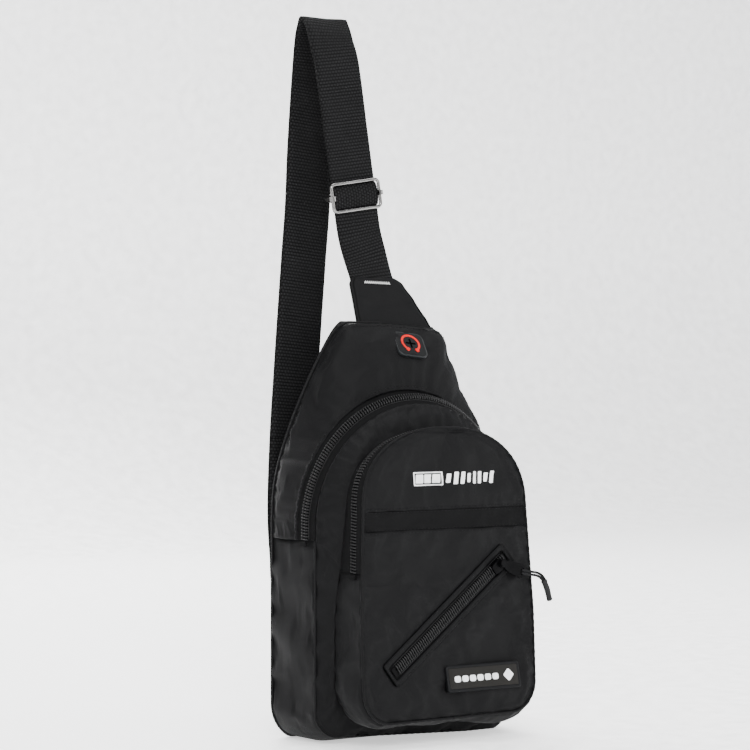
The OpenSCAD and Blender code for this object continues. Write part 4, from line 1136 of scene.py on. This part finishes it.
def make_slanted_zip():
    sizes = ((DIAG_LEN + 3.6, SLOT_W + 6), (DIAG_LEN + 2.8, SLOT_W + 5.2), (DIAG_LEN + 1.4, SLOT_W + 2.8),
             (DIAG_LEN + 0.2, SLOT_W + 0.2), (DIAG_LEN - 1.2, SLOT_W - 2.2), (DIAG_LEN - 1.8, SLOT_W - 3))
    lifts = (0.0, 0.85, 0.75, 0.95, 0.6, -0.1)
    rings = [np.concatenate([rounded_rectangle(w, h, 2.0, per_side=34), np.full((4 * 40, 1), lift)], axis=1)
             for (w, h), lift in zip(sizes, lifts)]
    grid = np.stack([diag_frame(r[:, 0] + DIAG_OFF, r[:, 1], r[:, 2]) for r in rings], axis=1)
    gather = 0.22 * np.sin(np.arange(len(grid)) * 2 * math.pi / 5)[:, None] * np.array([0, 1, 0.6, 0.5, 0, 0])
    grid = grid + FRONT_OUT * gather[..., None]
    cloth_piece("diag_welts", grid, 0.9, SHELL, ["diag_welts"], closed=True)
    tape = Parts()
    s = np.linspace(-DIAG_LEN / 2 + 1, DIAG_LEN / 2 - 1, 60) + DIAG_OFF
    for hand in (-1, 1):
        t = hand * np.linspace(0.25, SLOT_W / 2 + 0.3, 6)
        ss, tt = np.meshgrid(s, t, indexing="ij")
        flat = diag_frame(ss, tt, -0.4 - 0.25 * np.abs(tt) / 7)
        tape.add(*sheet_mesh(flat, 0.6, normals=np.broadcast_to(FRONT_OUT, flat.shape)))
    tape.make("diag_tapes", TAPE, ["diag_tapes"])
    line = diag_frame(s[2:-1], 0, -0.4)
    coil_piece("diag_coil", line, np.broadcast_to(DIAG_ACROSS, line.shape), np.broadcast_to(FRONT_OUT, line.shape),
               "diag_coil", pitch=1.9, width=7.2, high=2.0)


make_slanted_zip()


# ---------------------------------------------------------------- label, print and port

LABEL_AT = (26.5, 45.5)
PORT_X, PORT_Z, PORT_TURN = 7.0, 280.5, math.radians(-8)

def front_place(u, v, reach_u, reach_v):
    """The flat frame that rests on the pocket's front at a place: x to the side, y up, z out."""
    right, left = front_at(u + reach_u, v), front_at(u - reach_u, v)
    above, below = front_at(u, v + reach_v), front_at(u, v - reach_v)
    across = unit(right - left)
    return Axes(front_at(u, v), across, np.cross(across, unit(above - below)))


def ring_stack(outlines, lifts, place):
    """Closed solid from nested outlines of equal count: the first is the outer foot, the last is filled."""
    n = len(outlines[0])
    verts = np.concatenate([place(np.concatenate([o, np.full((n, 1), z)], axis=1)) for o, z in zip(outlines, lifts)])
    faces = []
    for i in range(len(outlines) - 1):
        for j in range(n):
            k = (j + 1) % n
            faces.append((i * n + j, i * n + k, (i + 1) * n + k, (i + 1) * n + j))
    faces.append(tuple(range((len(outlines) - 1) * n, len(outlines) * n)))
    faces.append(tuple(range(n))[::-1])
    return verts, faces


def plate_on(parts, place, size, profile, centre=(0, 0), turn=0.0, shear=0.0):
    """A plate with round corners on a surface. The profile gives (inset, lift) from its foot to its
    flat top, which is meshed in as far as its middle line so that it can follow a curved surface."""
    w, h, r = size
    inset, top = profile[-1]
    depth = min(w, h) / 2 - 0.05
    steps = list(profile) + [(inset + (depth - inset) * k, top) for k in (0.35, 0.7, 1.0)]
    c, n = math.cos(turn), math.sin(turn)
    outlines = []
    for inset, _ in steps:
        p = rounded_rectangle(w - 2 * inset, h - 2 * inset, max(r - inset, 0.03), 5, 12)
        x, y = p[:, 0] + shear * p[:, 1], p[:, 1]
        outlines.append(np.stack([centre[0] + x * c - y * n, centre[1] + x * n + y * c], axis=1))
    parts.add(*ring_stack(outlines, [lift for _, lift in steps], place))


def on_front_parts(points):
    p = np.asarray(points, float)
    return front_at(p[:, 0], p[:, 1], p[:, 2])


def make_label():
    """A moulded rubber label with a raised border and plain marks in place of its lettering."""
    spot = front_place(LABEL_AT[0], (LABEL_AT[1] - POCKET_Z) / math.cos(LEAN), 26, 7).moved(0, 0, 0.3)
    body = Parts()
    plate_on(body, spot.at, (63, 18.6, 1.8), [(0, -2.6), (0, 0.9), (0.25, 1.2), (0.7, 1.35), (1.5, 1.35), (1.8, 0.95)])
    body.make("rubber_label", RUBBER, ["rubber_label"])
    face = Parts()
    plate_on(face, spot.at, (59, 14.6, 0.9), [(0, 0.7), (0, 1.05), (0.3, 1.15)])
    face.make("label_face", LABEL_FACE)
    marks = Parts()
    raised = [(0, 1.0), (0, 1.4), (0.15, 1.5)]
    for k in range(6):
        plate_on(marks, spot.at, (5.2, 4.4, 1.5), raised, (-22.5 + 6.5 * k, -0.4))
    for size, lift in ((6.6, 1.0), (3.0, 1.2)):
        plate_on(marks, spot.at, (size, size, 1.1), [(0, lift), (0, lift + 0.4), (0.12, lift + 0.45)], (21.5, 0), math.pi / 4)
    marks.make("label_marks", WHITE_PRINT)


def make_print():
    """A plain frame of blocks and a row of slanted bars, in place of the real print."""
    parts = Parts()
    v0 = (186 - POCKET_Z) / math.cos(LEAN)
    ink = [(0, -0.1), (0, 0.2), (0.12, 0.28)]
    left, wide, high = -27.5, 24.5, 9.6
    for side in (-1, 1):
        plate_on(parts, on_front_parts, (wide, 0.9, 0.4), ink, (left + wide / 2, v0 + side * (high / 2 - 0.45)))
        plate_on(parts, on_front_parts, (0.9, high - 1.0, 0.3), ink, (left + wide / 2 + side * (wide / 2 - 0.45), v0))
    for k in range(3):
        plate_on(parts, on_front_parts, (6.2, 6.2, 0.6), ink, (left + 4.85 + 7.4 * k, v0), shear=0.12)
    for k in range(8):
        tall = 8.6 if k % 3 else 6.4
        plate_on(parts, on_front_parts, (3.3, tall, 0.7), ink, (left + wide + 4.2 + 5.8 * k, v0), shear=0.16)
    parts.make("chest_print", WHITE_PRINT, ["chest_print"])


def yoke_spot(x, z):
    """The point of the yoke's surface nearest to a place seen from the front, and its normal."""
    gap = np.hypot(yoke_grid[..., 0] - x, yoke_grid[..., 2] - z)
    i, j = np.unravel_index(np.argmin(gap), gap.shape)
    return yoke_grid[i, j], grid_normals(yoke_grid)[i, j]


def make_port():
    """The earphone port: a soft rubber patch with a clear rim, a printed ring and a cross cut, the cut drawn as a
    near-black plate of painted shade.
    """
    spot, normal = yoke_spot(PORT_X, PORT_Z)
    normal = unit(np.array([0, normal[1], normal[2]]))
    patch = Axes([PORT_X, spot[1], spot[2]] + normal * 0.1, [1, 0, 0], normal).turned(PORT_TURN)
    body = Parts()
    plate_on(body, patch.at, (23.4, 20.4, 4), [(0, -1.8), (0, 0.7), (0.3, 0.95), (1.2, 1.0)])
    body.make("earphone_port", PATCH, ["earphone_port"])
    rim = Parts()
    plate_on(rim, patch.at, (25, 22, 5), [(0, -1.8), (0, 0.35), (0.2, 0.7), (0.6, 0.75), (0.85, 0.4)])
    rim.make("port_rim", SMOKY)
    # the cross cut is a near-black plate at the patch's top: painted shade
    cut = Parts()
    for k, angle in enumerate((0, math.pi / 2)):
        plate_on(cut, patch.at, (8.6, 1.5, 0.7), [(0, 0.3), (0, 1.04 + 0.02 * k)], (0, 0.6), angle)
    cut.make("port_slit", SLIT_SHADE)
    ring = Parts()
    angle = np.linspace(math.radians(-50), math.radians(230), 60)
    arc = np.stack([7.0 * np.cos(angle), 7.0 * np.sin(angle) + 0.8, np.full(60, 1.0)], axis=1)
    ring.add(*tube_mesh(patch.at(arc), 0.9, sides=10, flat=0.5, up=patch.z))
    for hand in (-1, 1):
        foot = np.array([[hand * x, y, 1.0] for x, y in ((4.9, -4.2), (4.2, -5.0), (3.4, -5.8), (2.7, -6.3))])
        ring.add(*tube_mesh(patch.at(foot), np.array([0.95, 1.6, 1.8, 1.0]), sides=12, flat=0.5, up=patch.z))
    ring.make("port_mark", RED_PRINT)


make_label()
make_print()
make_port()


# ---------------------------------------------------------------- strap

RUN_Y, RUN_LEAN = 19.0, -0.16
RING_BAR, TURN_R, LAYER = np.array([-60.5, 33.0, 115.0]), 5.4, WEB_T + 0.1


def run_x(z):
    return -13.4 + RUN_LEAN * (z - 350)


STRAP_FRONT = [(-5.4, 8.1, 303), (-6.4, 13.2, 322), (-9.2, 17.8, 340), (run_x(362), RUN_Y, 362)]
STRAP_RUN = [(run_x(z), RUN_Y, z) for z in (390, 436, 482)]
STRAP_TOP = [(-37.2, 22.5, 500), (-37.6, 27, 511), (-36.6, 34, 516), (-35.2, 41, 511), (-34.2, 46.5, 499)]
STRAP_REAR = [(-35, 49, 471), (-40, 47, 421), (-44, 44, 379), (-48, 43, 341), (-55, 41, 271), (-60, 40, 212),
              (-62.4, 39, 161), (RING_BAR[0] - 0.4, RING_BAR[1] + TURN_R, 128)]
TURN = [tuple(RING_BAR + TURN_R * np.array([0, math.cos(a), -math.sin(a)])) for a in np.linspace(0, math.pi, 13)]


def webbing_piece(name, path, lift, node, width=WEB_W, body="bag", seed=0):
    """A flat strap of ribbed webbing: its ribs are modelled, and its edges are thinner selvedges."""
    line, at = resample(path, 0.7)
    tangent = unit(np.gradient(line, axis=0))
    side = unit(np.array([1.0, 0, 0]) - tangent[:, :1] * tangent)
    inward = np.cross(tangent, side)
    across = np.concatenate([np.linspace(-0.5, 0.5, 11), np.linspace(0.5, -0.5, 11)])
    face = np.concatenate([np.full(11, -1.0), np.full(11, 1.0)])
    edge = np.clip((0.5 - np.abs(across)) * width / 1.6, 0.25, 1) ** 0.5
    rib = 0.13 * np.sin(2 * math.pi * at / 2.1)
    sway = 0.5 * wobble(line, 60, 60 + seed)
    half = WEB_T / 2 * edge[None, :] * face[None, :] + face[None, :] * (rib[:, None] * (edge > 0.8)[None, :] - 0.08)
    wide = width * (1 + 0.006 * np.sin(2 * math.pi * at / 2.1))[:, None]
    verts = (line[:, None] + side[:, None] * (across[None, :] * wide)[..., None]
             + inward[:, None] * (half + lift + (sway * 0.3)[:, None])[..., None])
    n, m = verts.shape[:2]
    uvs = np.stack([np.broadcast_to(across * width, (n, m)), np.repeat(at[:, None], m, axis=1)], axis=2).reshape(-1, 2)
    faces = [(i * m + j, i * m + (j + 1) % m, (i + 1) * m + (j + 1) % m, (i + 1) * m + j)
             for i in range(n - 1) for j in range(m)]
    faces += [tuple(range(m))[::-1], tuple(range((n - 1) * m, n * m))]
    piece = build(name, verts.reshape(-1, 3), faces, WEBBING, uvs, body)
    finish_piece(piece, [node] if node else [])
    return piece, line, side, inward


def make_strap():
    path = np.concatenate([smooth_path(STRAP_FRONT + STRAP_RUN + STRAP_TOP + STRAP_REAR, 8), np.array(TURN)])
    webbing_piece("strap_webbing", path, 0.0, "strap_webbing")
    inner = smooth_path([STRAP_RUN[-1]] + STRAP_TOP + STRAP_REAR[:6], 8)
    webbing_piece("strap_return", inner, LAYER, "strap_return", WEB_W - 1, seed=1)
    low = smooth_path([(-60, 40 - LAYER, 212), (-62.4, 35.5, 161), (RING_BAR[0] - 0.5, 28.4, 130),
                       (RING_BAR[0], RING_BAR[1] - TURN_R, RING_BAR[2] + 0.1)], 8)
    webbing_piece("strap_return_low", low, 0.0, None, WEB_W - 1, seed=2)
    start, end = np.array([run_x(482), RUN_Y, 482]), np.array([run_x(412), RUN_Y, 412])
    front_inner = np.stack([between(start, end, k) for k in np.linspace(0, 1, 60)])
    piece = webbing_piece("strap_return_front", front_inner[::-1], LAYER, "strap_return_front", WEB_W - 1,
                          body=None, seed=3)[0]
    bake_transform(piece)


RUN_UP = unit([RUN_LEAN, 0, 1])
RUN_SIDE = unit(np.cross([0, 1.0, 0], RUN_UP))
ADJUST = np.array([run_x(388), RUN_Y, 388.0])
BAR_Y = WEB_T / 2 + 4.05


def on_run(p):
    p = np.atleast_2d(np.asarray(p, float))
    return ADJUST + p[:, :1] * RUN_SIDE + p[:, 1:2] * np.array([0, 1.0, 0]) + p[:, 2:] * RUN_UP


def make_adjuster_cloth():
    """The webbing swells over the adjuster's centre bar, between the two cross wires."""
    k = np.linspace(-1, 1, 60)
    t = np.linspace(-1, 1, 22)
    kk, tt = np.meshgrid(k, t, indexing="ij")
    swell = 2.6 * np.cos(kk * math.pi / 2) ** 0.6 * (1 - 0.12 * np.abs(tt) ** 4)
    rib = 0.13 * np.sin(2 * math.pi * kk * 8.6 / 2.1)
    grid = on_run(np.stack([tt * (WEB_W / 2 + 0.4), -0.75 - swell - rib, kk * 8.5], axis=-1).reshape(-1, 3)).reshape(60, 22, 3)
    piece = cloth_piece("adjuster_fold", grid[:, ::-1], 1.0, WEBBING, body="adjuster")
    loop = Parts()
    angle = np.linspace(0, 2 * math.pi, 33)[:-1]
    x = np.linspace(-1, 1, 27) * (WEB_W / 2 - 1)
    ring = np.stack([2.65 * np.cos(angle), 2.65 * np.sin(angle)], axis=1)
    hole = ring * (1.42 / 2.65)
    for q, inner in ((ring, False), (hole, True)):
        pts = np.array([[xi, BAR_Y + c[0], c[1]] for xi in x for c in q])
        n = len(q)
        faces = [(i * n + j, i * n + (j + 1) % n, (i + 1) * n + (j + 1) % n, (i + 1) * n + j) for i in range(26) for j in range(n)]
        if inner:
            faces = [f[::-1] for f in faces]
        loop.add(on_run(pts), faces)
    n = 32
    for end_row, flip in ((0, False), (26, True)):
        faces = []
        for j in range(n):
            a, b = end_row * n + j, end_row * n + (j + 1) % n
            face = (a, b, b + 27 * n, a + 27 * n)
            faces.append(face if flip else face[::-1])
        loop.faces += [tuple(f) for f in faces]
    tail_x, tail_z = np.meshgrid(x, np.linspace(1.0, 24, 40), indexing="ij")
    tail = np.stack([tail_x, np.full_like(tail_x, BAR_Y - 0.9) + 0.1 * np.sin(tail_z * 3), tail_z], axis=-1)
    loop.add(*sheet_mesh(on_run(tail.reshape(-1, 3)).reshape(27, 40, 3), 1.7, normals=np.broadcast_to(np.array([0, 1.0, 0]), (27, 40, 3))))
    loop.make("strap_end_loop", WEBBING, ["strap_end_loop"], body="adjuster_centre")


def tab_frame(p):
    """A point on the top tab: x to the side, y up the tab, z towards the front."""
    lean = math.radians(15)
    p = np.atleast_2d(np.asarray(p, float))
    return (np.array([0, 4.6, 290]) + p[:, :1] * np.array([1.0, 0, 0]) + p[:, 1:2] * np.array([0, math.sin(lean), math.cos(lean)])
            + p[:, 2:] * np.array([0, -math.cos(lean), math.sin(lean)]))


def make_tab():
    """Two plies of shell fabric, folded at the sides, that grip the end of the strap."""
    rows, columns = 34, 40
    k, t = np.meshgrid(np.linspace(0, 1, rows), np.linspace(0, 1, columns), indexing="ij")
    y = 1.5 + 38.5 * k
    left = np.interp(y, [1.5, 8.5, 35.5, 40], [-24.2, -24.5, -25.5, -23])
    right = np.interp(y, [1.5, 8.5, 36, 40], [38, 35, 17.5, 10])
    x = left + (right - left) * t
    crease = -1.1 * np.exp(-((y - 19 - 0.1 * x) / 3.2) ** 2) * np.sin(math.pi * t) + 0.6 * np.exp(-((y - 25) / 4) ** 2)
    edge = np.minimum.reduce([t * 50, (1 - t) * 50, (1 - k) * 38 + 0.2])
    puff = 2.5 - 1.5 * np.clip(1 - edge / 2.2, 0, 1) ** 2
    front = np.stack([x, y, puff + crease + 0.5 * wobble(np.stack([x, y, y * 0], axis=-1), 14, 71)], axis=-1)
    back = np.stack([x, y, -puff - 0.3], axis=-1)
    parts = Parts()
    f = tab_frame(front.reshape(-1, 3)).reshape(rows, columns, 3)
    b = tab_frame(back.reshape(-1, 3)).reshape(rows, columns, 3)
    parts.add(*sheet_mesh(f, 1.2, normals=np.broadcast_to(unit(tab_frame([[0, 0, 1]])[0] - tab_frame([[0, 0, 0]])[0]), f.shape)))
    parts.add(*sheet_mesh(b, 1.2, normals=np.broadcast_to(unit(tab_frame([[0, 0, 0]])[0] - tab_frame([[0, 0, 1]])[0]), b.shape)))
    for t_side in (0, -1):
        a_side, b_side = front[:, t_side], back[:, t_side]
        angle = np.linspace(0, math.pi, 7)
        out = -1 if t_side == 0 else 1
        strip = np.stack([np.stack([a_side[:, 0] + out * 1.1 * math.sin(q), a_side[:, 1],
                                    between(a_side[:, 2], b_side[:, 2], (1 - math.cos(q)) / 2)], axis=1) for q in angle], axis=1)
        g = tab_frame(strip.reshape(-1, 3)).reshape(rows, 7, 3)
        parts.add(*sheet_mesh(g if out > 0 else g[:, ::-1], 0.8))
    parts.make("strap_tab", SHELL, ["strap_tab"])
    tack = Parts()
    rise = math.tan(math.radians(-1.5))
    for amplitude, lift, count in ((0.9, 3.2, 27), (0.0, 2.85, 60)):
        x = np.linspace(-11.1, 11.1, count)
        swing = amplitude * np.where(np.arange(count) % 2, 1, -1)
        line = np.stack([x - 5, 35.6 + x * rise + swing, lift + 0.12 * np.abs(np.sin(x * 2.2))], axis=1)
        tack.add(*tube_mesh(tab_frame(line), 0.3, sides=6))
    tack.make("tab_bartack", WHITE_THREAD, ["tab_bartack"])


def make_anchor_tab():
    """The fabric loop low on the back that holds the ring: up behind it, over its wire and down again."""
    hinge = RING_BAR - np.array([0, 0, 16])
    angle = np.linspace(math.pi, math.radians(-20), 13)
    rise = [(26.2, 60), (26.4, 74), (27.2, 84), (29.2, 92), (30.2, 97.5)]
    over = [(hinge[1] + 2.8 * math.cos(a), hinge[2] + 2.8 * math.sin(a)) for a in angle]
    down = [(34.2, 93), (31.5, 86), (29.4, 78), (28.6, 70), (28.2, 60)]
    path = smooth_path([(0, y, z) for y, z in rise + over + down], 3)
    x = np.linspace(-15, 15, 21) + hinge[0]
    grid = np.stack([path + np.array([xi, 0, 0]) for xi in x], axis=0)
    cloth_piece("anchor_tab", grid, 1.0, SHELL, ["anchor_tab"])


make_strap()
make_adjuster_cloth()
make_tab()
make_anchor_tab()


# ---------------------------------------------------------------- seams and stitches

def ridge_tube(parts, path, radius, closed=False, gather=0.12):
    """The turned edge of a seam: a thin roll of cloth with small gathers."""
    line, at = resample(path, 1.6)
    parts.add(*tube_mesh(line, radius * (1 + gather * np.sin(at * 2 * math.pi / 5.3)), sides=8, closed=closed))


def make_seams():
    rolls = Parts()
    edge = ridge_edge(depth=0.6)
    bottom = lower_run(HALF_W, 0.0, CORNER_R, GUSSET_H, BACK_Y - 0.6)
    back = np.concatenate([edge, bottom[1:-1]])
    low = back[:, 2] < 1.0
    back[low, 2] = 0.9
    ridge_tube(rolls, np.concatenate([back, back[:1]]), 0.65)
    front = gusset_front + np.array([0, -0.3, 0])
    front[:, 2] = np.maximum(front[:, 2], 1.1)
    ridge_tube(rolls, front, 1.0)
    loop = FRONT_LOOP + np.array([0, -0.9, 0])
    grow = unit(loop - np.array([0, loop[:, 1].mean(), 110])) * 0.5
    ridge_tube(rolls, np.concatenate([loop + grow, (loop + grow)[:1]]), 0.95)
    rolls.make("seam_rolls", SHELL)
    thread = Parts()
    for column in (-3, 2):
        stitch_row(thread, *seam_line(yoke_grid, column))
    for v_mm in (BAND_Z0 - 1.4, BAND_Z0 + 1.0, BAND_Z1 - 1.0, BAND_Z1 + 1.4):
        v = (v_mm - POCKET_Z) / math.cos(LEAN)
        half = float(pocket_half(v_mm)) - 2
        u = np.linspace(-half, half, 90)
        lift = -0.5 if BAND_Z0 < v_mm < BAND_Z1 else 0.05
        stitch_row(thread, front_at(u, np.full_like(u, v), lift), FRONT_OUT)
    for t in (-SLOT_W / 2 - 1.9, SLOT_W / 2 + 1.9):
        s = np.linspace(-DIAG_LEN / 2 - 0.8, DIAG_LEN / 2 + 0.8, 90) + DIAG_OFF
        stitch_row(thread, diag_frame(s, t, 0.8), FRONT_OUT)
    for s_end in (-DIAG_LEN / 2 - 0.8, DIAG_LEN / 2 + 0.8):
        t = np.linspace(-SLOT_W / 2 - 1.4, SLOT_W / 2 + 1.4, 20)
        stitch_row(thread, diag_frame(np.full_like(t, s_end + DIAG_OFF), t, 0.8), FRONT_OUT)
    thread.make("stitches", THREAD)


make_seams()


# ---------------------------------------------------------------- metal and hidden CAD parts

def dress(node, material, bevel=0.0, edge_highlight=None):
    """Gives a CAD part its finish, and eases its edges, which can take a lighter second finish as a painted highlight.
    """
    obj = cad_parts[node]
    obj.data.materials.clear()
    obj.data.materials.append(material)
    if bevel:
        item = obj.modifiers.new("eased_edges", "BEVEL")
        item.width, item.segments, item.limit_method, item.angle_limit = bevel * MM, 2, "ANGLE", math.radians(38)
        item.use_clamp_overlap = True
        if edge_highlight:
            obj.data.materials.append(edge_highlight)
            item.material = 1


for node in ("adjuster_frame", "adjuster_bar", "anchor_ring"):
    dress(node, NICKEL)
for zip_name in PULLS:
    # the eased edges of sliders and pulls get the lighter finish: painted highlight
    dress(f"{zip_name}_slider", ZINC, 0.32, EDGE_HIGHLIGHT_ZINC)
    dress(f"{zip_name}_pull", ZINC, 0.32, EDGE_HIGHLIGHT_ZINC)
    dress(f"{zip_name}_zip_ends", TAPE, 0.3)
dress("back_foam", FOAM)
dress("inner_pocket", LINING)
dress("diag_pocket_bag", LINING)
